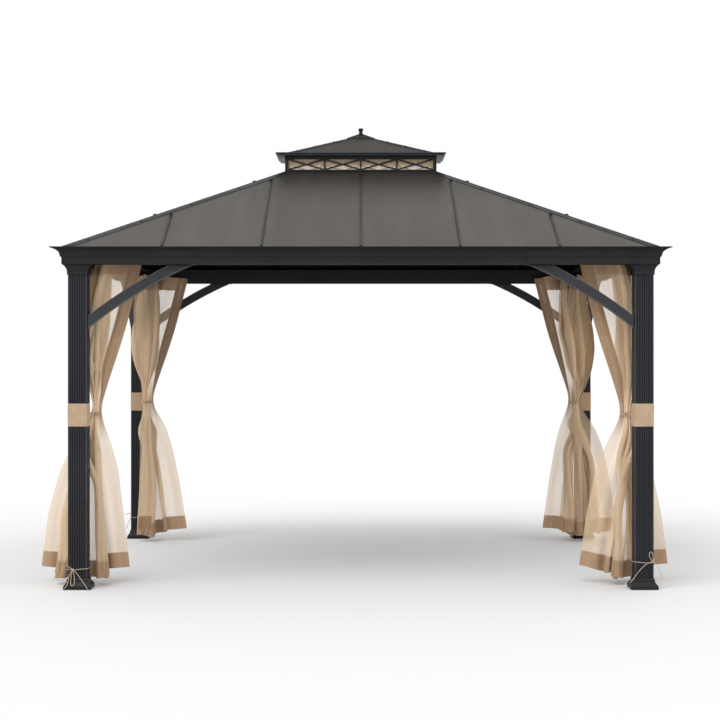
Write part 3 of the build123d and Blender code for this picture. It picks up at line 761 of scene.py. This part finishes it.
back_left_long_sections = changed(long_sections, 8, 1, [
    (0.196, 0.188, 0.078, 16),
    (0.228, 0.206, 0.108, 18),
    (0.258, 0.226, 0.140, 20),
    (0.284, 0.240, 0.168, 20),
])
# The two on the right-hand posts: the near one is wider at the foot, the far one narrower
front_right_long_sections = changed(long_sections, 8, 1, [
    (0.178, 0.188, 0.078, 16),
    (0.200, 0.212, 0.119, 18),
    (0.222, 0.240, 0.147, 20),
    (0.240, 0.256, 0.172, 20),
])
back_right_long_sections = changed(long_sections, 8, 1, [
    (0.182, 0.188, 0.064, 16),
    (0.206, 0.206, 0.088, 18),
    (0.230, 0.226, 0.114, 20),
    (0.253, 0.240, 0.138, 20),
])
sections_by_net = {
    ("long", "back_left"): back_left_long_sections,
    ("long", "back_right"): back_right_long_sections,
    ("long", "front_right"): front_right_long_sections,
    ("short", "back_left"): back_left_sections,
    ("short", "back_right"): back_right_sections,
    ("short", "front_right"): front_right_sections,
}
print("tables", 2 + len(sections_by_net), "strap at", long_sections[strap_row, 0], "m")

# %% [markdown]
# ### Soft lines
# Cloth has no kinks, so the values between the guides are rounded off. No two folds are alike
# either: a sum of a few waves with random heights and starts bends them a little. Single random
# numbers would be rough from point to point, and a sum of waves is smooth by itself.

# %% Lines and soft steps


def smooth(values, reach):
    """A line of values, each replaced by a weighted mean of its neighbours up to a reach away."""
    window = np.hanning(2 * reach + 3)[1:-1]
    return np.convolve(np.pad(values, reach, mode="edge"), window / window.sum(), mode="valid")


def along_heights(sections, heights):
    """The sections' values at every height, straight between sections and then rounded off."""
    order = sections[::-1]
    return [smooth(np.interp(heights, order[:, 0], order[:, k]), 4)[:, None] for k in range(1, 5)]


def wander(place, dice, waves):
    """A smooth random line between -1 and 1: a few sine waves of rising count and falling height."""
    count = np.arange(1, waves + 1)
    height = dice.normal(0, 1, waves) / count**0.7
    start = dice.uniform(0, 2 * np.pi, waves)
    total = (height * np.sin(2 * np.pi * count * place[..., None] + start)).sum(-1)
    return total / np.abs(total).max()


def step_up(value, low, high):
    """From 0 below low to 1 above high, with soft ends."""
    share = np.clip((value - low) / (high - low), 0, 1)
    return share * share * (3 - 2 * share)


print("a quarter up a soft step:", step_up(0.25, 0, 1))

# %% [markdown]
# ### Folds
# On the grid, U runs across the cloth and V up it. At every height the cloth winds to and fro
# across its guide like a river seen from above. A plain sine wave would stretch the cloth where it
# is steep; a winding line keeps its length. The folds crowd in the middle of the flare and leave its
# edges nearly flat, as sheer cloth does when it falls from a tie.

# %% A gathered half
columns = 321
rows = 101
fold_count = 5
pinch_reach = 0.12
flare_reach = (0.03, 0.40)
change_reach = (-0.30, 0.25)
broad_drift, fine_drift = 0.050, 0.012
head_sway, hem_sway = 0.5, 0.9
edge_flat = (0.80, 0.96)
flat_run = 0.2
largest_swing = 2.75
swing_steps = 138
room_growth = 0.11
bow_depth = 0.02
edge_lift = 0.05
head_sag = 0.018


def gathered_net(sections, width, seed, flat_from):
    """Plan places (along, across) and heights of a gathered half.

    Folds: the cloth winds like a river. Its direction swings to both sides of the guide as a sine
    wave, and the places are the running sums of the direction's cosine and sine. How far it must
    swing follows from the cloth's width over the guide's length. Where the strap leaves no room for
    such deep folds they are made shallower, and some cloth is missing there.
    From flat_from on, near the free edge, the cloth is drawn nearly flat, and less so in the flare.
    Guide: a straight run through the section's middle, turned by its angle. The free edge, drawn
    across to the post, ends a little higher than the rest of the hem.
    """
    dice = np.random.default_rng(seed)
    s = np.linspace(0, 1, columns)[None, :]
    t = np.linspace(1, 0, rows)[:, None]
    heights = net_low + t * net_height
    middle_a, middle_b, half_run, turn = along_heights(sections, heights[:, 0])
    turn = np.radians(turn)

    strap_height, waist = sections[strap_row, [0, 3]]
    flare = step_up(strap_height - heights, *flare_reach)
    pinch = np.exp(-(((heights - strap_height) / pinch_reach) ** 2))
    span = 2 * s - 1

    drift = broad_drift * wander(s, dice, 4) + fine_drift * wander(s, dice, 9)
    sway = wander(t, dice, 3) * wander(s, dice, 4)
    head_phase = 2 * np.pi * fold_count * (s + drift) + head_sway * sway
    hem_phase = 2 * np.pi * fold_count * (s + drift) + hem_sway * sway + dice.uniform(0, 1.5)
    change = step_up(strap_height - heights, *change_reach)
    wave = (1 - change) * np.sin(head_phase) + change * np.sin(hem_phase)

    flat_above = step_up(s, flat_from, flat_from + flat_run)
    drawn_flat = (1 - flare) * flat_above + flare * step_up(s, *edge_flat)
    drawn_flat = 0.8 * drawn_flat + 0.5 * step_up(-s, -0.10, 0.0)
    wave = wave * (1 + 0.12 * wander(s, dice, 6)) * (1 - drawn_flat)
    swings = np.linspace(0, largest_swing, swing_steps)
    kept = np.cos(swings[:, None, None] * wave).mean(axis=2)
    wide_enough = (kept > 2 * half_run[:, 0] / width).sum(axis=0)
    swing = smooth(swings[np.minimum(wide_enough, swing_steps - 1)], 13)[:, None]
    along = np.cumsum(np.cos(swing * wave), axis=1)
    across = np.cumsum(np.sin(swing * wave), axis=1)
    stride = 2 * half_run / (along[:, -1:] - along[:, :1])
    run = stride * (along - (along[:, -1:] + along[:, :1]) / 2)
    fold = across - across[:, :1] - (across[:, -1:] - across[:, :1]) * s
    fold = stride * (fold - (1 - flare) * fold.mean(axis=1, keepdims=True))
    deepest = np.abs(fold).max(axis=1, keepdims=True)
    bunched = waist * np.sqrt(np.clip(1.04 - span**2, 0, 1)) * fold / deepest
    room = waist + room_growth * np.abs(heights - strap_height)
    fold = fold * np.minimum(1, room / deepest)
    fold = (1 - pinch) * fold + pinch * bunched
    bow = bow_depth * flare * (1 - span**2)
    a = middle_a + np.cos(turn) * run - np.sin(turn) * (fold - bow)
    b = middle_b + np.sin(turn) * run + np.cos(turn) * (fold - bow)

    lift = 0.012 * wander(s, dice, 4) * (1 - t) ** 6 + edge_lift * step_up(s, 0.5, 1.0) * (1 - t) ** 2
    sag = -head_sag * (0.5 + 0.5 * np.cos(head_phase)) * t**24
    return a, b, heights + lift + sag, np.broadcast_to(s, a.shape), np.broadcast_to(t, a.shape)


print("grid of a half:", rows, "by", columns, "points")

# %% [markdown]
# ### Hanging the halves
# Each post has a half on its long rail and one on its short rail. The halves could be copies of one,
# but the eye soon finds a fold that comes back, so each throws its own dice. A printed line compares
# the area of the folded cloth with the flat piece: close to 1 means that little cloth is missing.

# %% Hang the netting
first_seed = 40
short_seeds_on = 10
# This throw of the dice keeps the net's outer edge straight, and its banded edge is the outer one
fold_seeds = {("short", "back_left"): 180}
turned_over = {("short", "back_left")}
back_flat_from = 0.64
other_flat_from = 0.70


def hang_net(kind, corner, seed):
    """One half as a piece: folded at the front left and carried to its corner."""
    long_side = kind == "long"
    sections = sections_by_net.get((kind, corner), long_sections if long_side else short_sections)
    width = long_width if long_side else short_width
    flat_from = back_flat_from if long_side and corner.startswith("back") else other_flat_from
    a, b, up, s, t = gathered_net(sections, width, fold_seeds.get((kind, corner), seed), flat_from)
    points = at_corner(corner, a, b, up) if long_side else at_corner(corner, b, a, up)
    cloth = long_cloth if long_side else short_cloth
    u = 1 - s if (kind, corner) in turned_over else s
    piece = grid_piece(f"net_{kind}_{corner}", points, cloth, uv=np.stack([u, t], axis=-1))
    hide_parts(f"netting_{kind}_{corner}")
    first, second = np.diff(points, axis=0)[:, :-1], np.diff(points, axis=1)[:-1]
    area = np.linalg.norm(np.cross(first, second), axis=-1).sum()
    print(piece.name, "area over flat", round(float(area / (width * net_height)), 2))


for seed, corner in enumerate(corner_signs, first_seed):
    hang_net("long", corner, seed)
    hang_net("short", corner, seed + short_seeds_on)

# %% [markdown]
# ## Netting behind the vent lattice
# Four flat strips of the same net close the vent, with a narrow hem. A single flat face would do
# from afar, but it would catch the light like a board. Stretched netting is nearly flat, so a slow
# ripple of a millimetre or two is enough.

# %% Vent netting
vent_clear = 0.009
vent_columns, vent_rows = 61, 13
vent_inset = 0.001
vent_end_gap = 0.006
vent_ripple = 0.0015
vent_seed = 80
vent_width, vent_height = 0.9, 0.1
vent_bands = (0.004, 0.004, 0.004)
vent_veil = 0.5
vent_cloth = netting_cloth("netting_vent", vent_width, vent_height, *vent_bands, vent_veil, 0)


def vent_strip(name, lattice, seed):
    """A grid along the lattice's inner face: places along it, heights, and a small ripple."""
    low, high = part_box(lattice)
    dice = np.random.default_rng(seed)
    u = np.linspace(0, 1, vent_columns)[None, :]
    v = np.linspace(0, 1, vent_rows)[:, None]
    up = low[2] + vent_inset + (high[2] - low[2] - 2 * vent_inset) * v
    ripple = vent_ripple * wander(u + 0.2 * v, dice, 6)
    middle = (low + high) / 2
    facing = 0 if high[0] - low[0] < high[1] - low[1] else 1
    along = 1 - facing
    place = low[along] + vent_end_gap + (high[along] - low[along] - 2 * vent_end_gap) * u
    inward = -math.copysign(1, middle[facing])
    points = np.zeros((vent_rows, vent_columns, 3))
    points[..., along] = place
    points[..., facing] = middle[facing] + inward * vent_clear + ripple
    points[..., 2] = up
    uv = np.stack(np.broadcast_arrays(u, v), axis=-1)
    piece = grid_piece(name, points, vent_cloth, uv=uv)
    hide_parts("vent_netting")


for seed, side in enumerate(["front", "back", "left", "right"], vent_seed):
    vent_strip(f"vent_net_{side}", f"lattice_{side}", seed)

# %% [markdown]
# ## Straps
# A woven strap wraps each post, and a narrow loop of it, on a short tab, pinches the two gathers
# beside the post. Both could be cut from a plain box or ring, but cloth has no sharp rims and lies
# unevenly. So they begin as closed paths in plan: one round the post, one round the two gathers.

# %% Paths of strap and loop
strap_stand = 0.0022
strap_bend = 0.006
loop_round = 0.0262
wrap_points, loop_points = 240, 160
long_gather = long_sections[strap_row, 1:3]
short_gather = short_sections[strap_row, [2, 1]]


def even_path(points, count):
    """A closed line resampled to a number of points at equal distances along it."""
    closed = np.vstack([points, points[:1]])
    steps = np.r_[0, np.cumsum(np.linalg.norm(np.diff(closed, axis=0), axis=1))]
    place = np.linspace(0, steps[-1], count, endpoint=False)
    return np.stack([np.interp(place, steps, closed[:, k]) for k in range(closed.shape[1])], axis=1)


def arc(centre, radius, start, stop, count=17):
    """Points on an arc in plan, between two angles in degrees."""
    angle = np.radians(np.linspace(start, stop, count))
    return np.stack([centre[0] + radius * np.cos(angle), centre[1] + radius * np.sin(angle)], axis=1)


def round_post(stand, radius, count):
    """A path round a post, a stand-off from its faces, with rounded corners."""
    far = post_size + stand - radius
    near = radius - stand
    corner_arcs = [
        arc((far, far), radius, 0, 90),
        arc((near, far), radius, 90, 180),
        arc((near, near), radius, 180, 270),
        arc((far, near), radius, 270, 360),
    ]
    return even_path(np.vstack(corner_arcs), count)


def round_gathers(radius, count):
    """A path round the two gathers: two half circles joined by straight runs."""
    lean = short_gather - long_gather
    swing = math.degrees(math.atan2(lean[1], lean[0]))
    ends = [
        arc(short_gather, radius, swing - 90, swing + 90),
        arc(long_gather, radius, swing + 90, swing + 270),
    ]
    return even_path(np.vstack(ends), count)


wrap_path = round_post(strap_stand, strap_bend, wrap_points)
loop_path = round_gathers(loop_round, loop_points)
print("paths of", len(wrap_path), "and", len(loop_path), "points")

# %% [markdown]
# ### Bands of cloth
# A band is its path carried up in rows, with a profile that turns in at the rims so that the edge
# looks folded. A little noise keeps the cloth from looking like tin. The tab is a short open strip.

# %% Bands and tabs
strap_low, strap_high = 0.965, 1.101
loop_low, loop_high = 1.024, 1.042
band_rows = 25
tab_columns, tab_rows = 15, 7
tab_twist = 0.002


def band(corner, path, low, high, rim, crumple, seed):
    """Points of a band: the path, moved outward by a profile over the height and by noise."""
    dice = np.random.default_rng(seed)
    v = np.linspace(0, 1, band_rows)[:, None]
    u = np.linspace(0, 1, len(path))[None, :]
    ahead = np.roll(path, -1, axis=0) - np.roll(path, 1, axis=0)
    ahead /= np.linalg.norm(ahead, axis=1, keepdims=True)
    outward = np.stack([ahead[:, 1], -ahead[:, 0]], axis=1)
    turned_in = rim * (np.abs(2 * v - 1) ** 14)
    ring_u = np.sin(np.pi * u) ** 0.5
    noise = crumple * wander(u * 2 + 0.3 * v, dice, 7) * ring_u * (0.4 + 0.6 * v)
    move = noise - turned_in
    plan = path[None, :, :] + move[..., None] * outward[None, :, :]
    up = low + (high - low) * v + 0.15 * crumple * wander(u, dice, 5)
    return at_corner(corner, plan[..., 0], plan[..., 1], np.broadcast_to(up, move.shape))


tab_in = 0.008
tab_from = np.array([post_size + strap_stand, post_size - tab_in])
tab_lean = long_gather - tab_from
tab_run = float(np.linalg.norm(tab_lean) - loop_round)


def strap_tab(corner):
    """A short strip from the strap to the loop, twisted a little in the middle."""
    t = np.linspace(0, 1, tab_columns)[None, :, None]
    v = np.linspace(0, 1, tab_rows)[:, None, None]
    ahead = tab_lean / np.linalg.norm(tab_lean)
    aside = np.array([ahead[1], -ahead[0]])
    plan = tab_from + tab_run * t * ahead + tab_twist * np.sin(np.pi * t) * (2 * v - 1) * aside
    up = loop_low + (loop_high - loop_low) * v[..., 0] - tab_twist * np.sin(np.pi * t[..., 0])
    return at_corner(corner, plan[..., 0], plan[..., 1], up)


print("tab", round(tab_run, 3), "m long")

# %% [markdown]
# ### Wrapping the posts
# At each post the strap rests on the metal, the loop on the two gathers, and the tab on both.

# %% Wrap the posts
wrap_rim, wrap_crumple, wrap_seed = 0.0016, 0.0010, 120
loop_rim, loop_crumple, loop_seed = 0.003, 0.0012, 140


def strap_piece(name, points, closed):
    """A strip of strap cloth in place of the straps' solid."""
    piece = grid_piece(name, points, strap_cloth, close_columns=closed)
    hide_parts("straps")


for number, corner in enumerate(corner_signs):
    wrap = band(corner, wrap_path, strap_low, strap_high, wrap_rim, wrap_crumple, wrap_seed + number)
    strap_piece(f"strap_{corner}", wrap, True)
    loop = band(corner, loop_path, loop_low, loop_high, loop_rim, loop_crumple, loop_seed + number)
    strap_piece(f"strap_loop_{corner}", loop, True)
    strap_piece(f"strap_tab_{corner}", strap_tab(corner), False)
print("straps, loops and tabs at", len(corner_signs), "posts")

# %% [markdown]
# ## Rings and knots of the ties
# The ring round the post and the knot are the same thin cord as the free ends. They are closed, and
# as grids they can share the strap's path round the post. A tube is a circle carried along a path:
# at each point two directions across the path are found, and a small circle is laid out in them.

# %% Tie rings and knots
cord_sides = 10
ring_points, knot_points = 240, 120
ring_clear = 0.0003
ring_bend = 0.0024
ring_sag = 0.003
knot_half = 0.0052
knot_depth = 0.6
knot_cord_round = 0.0021
knots_by_corner = {
    "front_left": (0.120, (0.030, 0.0072, 0.118)),
    "front_right": (0.160, (0.007, 0.0072, 0.166)),
    "back_left": (0.160, (0.007, 0.0072, 0.166)),
    "back_right": (0.120, (0.030, 0.0072, 0.118)),
}


def tube(path, radius, sides, closed):
    """A grid of circles along a path, each in the plane across the path there."""
    if closed:
        ahead = np.roll(path, -1, axis=0) - np.roll(path, 1, axis=0)
    else:
        ahead = np.gradient(path, axis=0)
    ahead /= np.linalg.norm(ahead, axis=1, keepdims=True)
    helper = np.where(np.abs(ahead[:, 2:3]) > 0.9, [[1.0, 0, 0]], [[0, 0, 1.0]])
    side = np.cross(helper, ahead)
    side /= np.linalg.norm(side, axis=1, keepdims=True)
    other = np.cross(ahead, side)
    angle = np.linspace(0, 2 * np.pi, sides, endpoint=False)[None, :, None]
    circle = np.cos(angle) * side[:, None, :] + np.sin(angle) * other[:, None, :]
    return path[:, None, :] + radius * circle


def knot_path(count):
    """Half-size 1: a three-leafed closed line that crosses itself over and under."""
    t = np.linspace(0, 2 * np.pi, count, endpoint=False)
    leaves = [np.sin(t) + 2 * np.sin(2 * t), -np.sin(3 * t), np.cos(t) - 2 * np.cos(2 * t)]
    return np.stack(leaves, axis=1) / 3


def tie_piece(name, path, radius, corner):
    """A closed tube of cord in place of the tie's solid."""
    piece = grid_piece(name, tube(path, radius, cord_sides, True), cord_cloth, True, True)
    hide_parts(f"tie_{corner}")


plan = round_post(cord_width / 2 + ring_clear, ring_bend, ring_points)
sag = ring_sag * np.sin(np.linspace(0, 6 * np.pi, ring_points))
leaf_x, leaf_y, leaf_up = knot_half * knot_path(knot_points).T
for corner, (ring_up, (knot_in, knot_out, knot_up)) in knots_by_corner.items():
    ring_path = at_corner(corner, plan[:, 0], plan[:, 1], ring_up + sag)
    tie_piece(f"tie_ring_{corner}", ring_path, cord_width / 2, corner)
    tied = at_corner(corner, knot_in + leaf_x, knot_depth * leaf_y - knot_out, knot_up + leaf_up)
    tie_piece(f"tie_knot_{corner}", tied, knot_cord_round, corner)
print("rings and knots", 2 * len(knots_by_corner))

# %% [markdown]
# ## Screws and seam caps
# Screws hold the hip caps down, and each seam ends below the hip in a small round cap. Both are
# domes: half of a flattened ball that looks along the normal of the roof where it stands. One could
# place copies of a ball by hand; here all the domes of a kind are worked out together, as one array.

# %% Domes
dome_rings, dome_sides = 6, 14


def domes(places, normals, radius, height):
    """Half of a flattened ball on each place: circles that shrink as a cosine while rising as a sine."""
    normals = normals / np.linalg.norm(normals, axis=1, keepdims=True)
    side = np.cross(normals, [0.3, 0.9, 0.1])
    side /= np.linalg.norm(side, axis=1, keepdims=True)
    other = np.cross(normals, side)
    rise = np.linspace(0, np.pi / 2, dome_rings)[None, :, None, None]
    angle = np.linspace(0, 2 * np.pi, dome_sides, endpoint=False)[None, None, :, None]
    wide = radius * np.maximum(np.cos(rise), 0.02)
    flat = np.cos(angle) * side[:, None, None, :] + np.sin(angle) * other[:, None, None, :]
    up = height * np.sin(rise) * normals[:, None, None, :]
    return places[:, None, None, :] + wide * flat + up


def many_grids(name, grids, finish, close_columns):
    """One piece out of several grids of one size: the same squares, numbered on from grid to grid."""
    count, rows_each, columns_each = grids.shape[:3]
    squares = grid_faces(rows_each, columns_each, False, close_columns)
    step = np.arange(count)[:, None, None] * rows_each * columns_each
    return mesh_piece(name, grids, (squares[None] + step).reshape(-1, 4), finish)


def four_ways(places, normals):
    """Points and directions at the front left, and their mirror images at the other corners."""
    signs = np.array([(1, 1, 1), (-1, 1, 1), (1, -1, 1), (-1, -1, 1)])
    return (places[None] * signs[:, None]).reshape(-1, 3), (normals[None] * signs[:, None]).reshape(-1, 3)


def dome_piece(name, places, normals, size, finish):
    """Domes of one size, a radius and a height, at all four corners as one piece."""
    grids = domes(*four_ways(places, normals), *size)
    piece = many_grids(name, grids, finish, True)
    print(name, len(grids))


print("points of a dome", dome_rings * dome_sides)

# %% [markdown]
# ### Screws on the hips
# A hip runs up from the corner of the eaves at 45 degrees in plan, so one number, the depth in from
# the eaves, gives both places of a screw. Two rows lie on the cap's wings, one on the front slope
# and one on the side slope. The pitch is the roof's rise over its run.

# %% Hip screws
pitch = 0.457
hip_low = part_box("hip_caps")[0]
eave_x, eave_y = -hip_low[0], -hip_low[1]
screw_size = (0.0075, 0.0055)
screw_seat = 0.0025
wing = 0.040
depth = np.array([0.10, 0.38, 0.66, 0.94, 1.18])
lift = hip_low[2] + screw_seat + pitch * depth
front_wing = np.stack([depth - eave_x + wing, depth - eave_y, lift], axis=1)
side_wing = np.stack([depth - eave_x, depth - eave_y + wing, lift], axis=1)
slope_normals = np.array([(0, -pitch, 1), (-pitch, 0, 1)])
wing_normals = np.repeat(slope_normals, len(depth), axis=0)
dome_piece("hip_screws", np.vstack([front_wing, side_wing]), wing_normals, screw_size, trim_coat)

# %% [markdown]
# ### Screws on the upper roof
# The small roof is steeper and has one row of screws on each hip. Its hips run to the middle and not
# at 45 degrees, so the screws are placed by shares of the way up instead of a depth.

# %% Upper hip screws
upper_low, upper_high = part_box("upper_hip_caps")
upper_screw_size = (0.006, 0.005)
upper_seat = 0.002
upper_aside = 0.016
upper_reach = 0.86
upper_pitch = 0.72
way = np.array([0.12, 0.42, 0.70])
upper_lift = upper_low[2] + upper_seat + (upper_high[2] - upper_low[2]) * way
upper_line = np.array(upper_low)[:2] * (1 - upper_reach * way[:, None]) + [upper_aside, 0.0]
upper_normals = np.tile([0, -upper_pitch, 1], (len(way), 1))
dome_piece("upper_hip_screws", np.c_[upper_line, upper_lift], upper_normals, upper_screw_size, trim_coat)

# %% [markdown]
# ### Caps on the seams
# A seam rises from the eaves until it meets the hip or the vent, whichever comes first. Its cap
# stands a hand's breadth below that end.

# %% Seam caps
cap_size = (0.015, 0.013)
cap_seat = 0.010
cap_below = 0.105
vent_half_depth = 0.19
seam_front = eave_x * np.array([2 / 3, 1 / 3])
seam_side = eave_y * np.array([0.6, 0.2])
to_vent = eave_y - vent_half_depth
top_front = np.minimum(eave_x - seam_front, to_vent) - cap_below
top_side = np.minimum(eave_y - seam_side, to_vent) - cap_below
sheet_top = hip_low[2] + cap_seat
front_caps = np.stack([-seam_front, top_front - eave_y, sheet_top + pitch * top_front], axis=1)
side_caps = np.stack([top_side - eave_x, -seam_side, sheet_top + pitch * top_side], axis=1)
cap_normals = np.repeat(slope_normals, len(seam_front), axis=0)
dome_piece("seam_caps", np.vstack([front_caps, side_caps]), cap_normals, cap_size, frame_coat)

# %% [markdown]
# ## Joints of the cornice
# The cornice comes in lengths that meet at the corner mouldings and at splices beside the braces. A
# thin seal shows in each joint. A dark line in the finish would do from afar, but a strip with a
# shape of its own catches the light. It is the cornice's own profile, a few tenths of a millimetre
# further out, carried along for three and a half millimetres.

# %% Seals in the joints
cornice_low, cornice_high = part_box("beam_front")
cornice_out = -half_y - cornice_low[1]
cornice_deep = cornice_high[2] - cornice_low[2]
profile_rows = np.array([
    (0.35, 0.0, 0.0),
    (0.35, 0.38, 0.0),
    (0.45, 0.53, 0.12),
    (0.68, 0.83, -0.14),
    (0.95, 0.95, -0.1),
    (1.0, 0.95, 0.0),
    (1.0, 1.0, 0.0),
])
profile_steps = 5
seal_width, seal_stand, seal_sink = 0.0035, 0.0005, 0.0004
corner_joint = half_x - cornice_high[0]
splice = 0.7535


def cornice_profile(steps):
    """Out and up of the cornice's face: each run is a parabola pulled aside by its bow."""
    ends = profile_rows[:, :2] * [cornice_out, cornice_deep]
    start, stop, bow = ends[:-1, None], ends[1:, None], profile_rows[1:, 2, None, None]
    run = stop - start
    aside = np.stack([run[..., 1], -run[..., 0]], axis=-1)
    t = np.linspace(0, 1, steps, endpoint=False)[None, :, None]
    face = start + run * t + 4 * t * (1 - t) * bow * aside
    return np.vstack([face.reshape(-1, 2), ends[-1:]])


def seals(places, along_x):
    """Narrow strips of the profile at places along X or Y, on both sides of the gazebo."""
    face = cornice_profile(profile_steps)
    across = np.array([-0.5, -0.25, 0.25, 0.5]) * seal_width
    stand = np.array([-seal_sink, seal_stand, seal_stand, -seal_sink])
    out = face[:, None, 0] + stand[None, :] + (half_y if along_x else half_x)
    up = np.broadcast_to(cornice_low[2] + face[:, None, 1], out.shape)
    grids = []
    for side in (-1, 1):
        for place in places:
            onward = -side if along_x else side
            along = np.broadcast_to(place + onward * across[None, :], out.shape)
            grids.append(np.stack([along, side * out, up] if along_x else [side * out, along, up], axis=-1))
    return np.stack(grids)


x_places = [side * (half_x - distance) for side in (-1, 1) for distance in (corner_joint, splice)]
y_places = [side * (half_y - distance) for side in (-1, 1) for distance in (corner_joint, splice)]
strips = np.concatenate([seals(x_places, True), seals(y_places, False)])
joint_seals = many_grids("joint_seals", strips, seal_coat, False)
print("joint seals", len(strips))

# %% [markdown]
# ## Hooks on the rails
# The netting hangs from the rails on small wire hooks, one for about every fold. Curves with a bevel
# could draw them too, but the tube from the ties makes a whole row at once. A hook is a thin tube
# that leaves the header, bends over and ends up in the slot of the rail.

# %% Rail hooks
hook_round = 0.0013
hook_sides = 8
hook_points = 14
hook_count = 7
hook_spread = 0.92
hook_bow = 0.004
hook_aside = 0.010
hook_from = net_top - 0.020
slot_in = 0.1288
slot_depth = 0.006
rail_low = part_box("curtain_rails")[0][2]


def hooks(name, corner, along_middle, along_half, long_side):
    """Tubes side by side: each rises from the header to the slot along a soft step."""
    t = np.linspace(0, 1, hook_points)[None, :]
    spread = np.linspace(-hook_spread, hook_spread, hook_count)[:, None]
    along = along_middle + along_half * spread + hook_bow * np.sin(np.pi * t)
    across = slot_in + hook_aside * (1 - step_up(t, 0.1, 0.8))
    up = hook_from + (rail_low + slot_depth - hook_from) * t
    along, across, up = np.broadcast_arrays(along, across, up)
    paths = at_corner(corner, along, across, up) if long_side else at_corner(corner, across, along, up)
    tubes = np.stack([tube(path, hook_round, hook_sides, False) for path in paths])
    piece = many_grids(name, tubes, rail_coat, True)


for corner in corner_signs:
    hooks(f"hooks_long_{corner}", corner, long_sections[0, 1], long_sections[0, 3], True)
    hooks(f"hooks_short_{corner}", corner, short_sections[0, 1], short_sections[0, 3], False)
print("hooks", 2 * len(corner_signs) * hook_count)
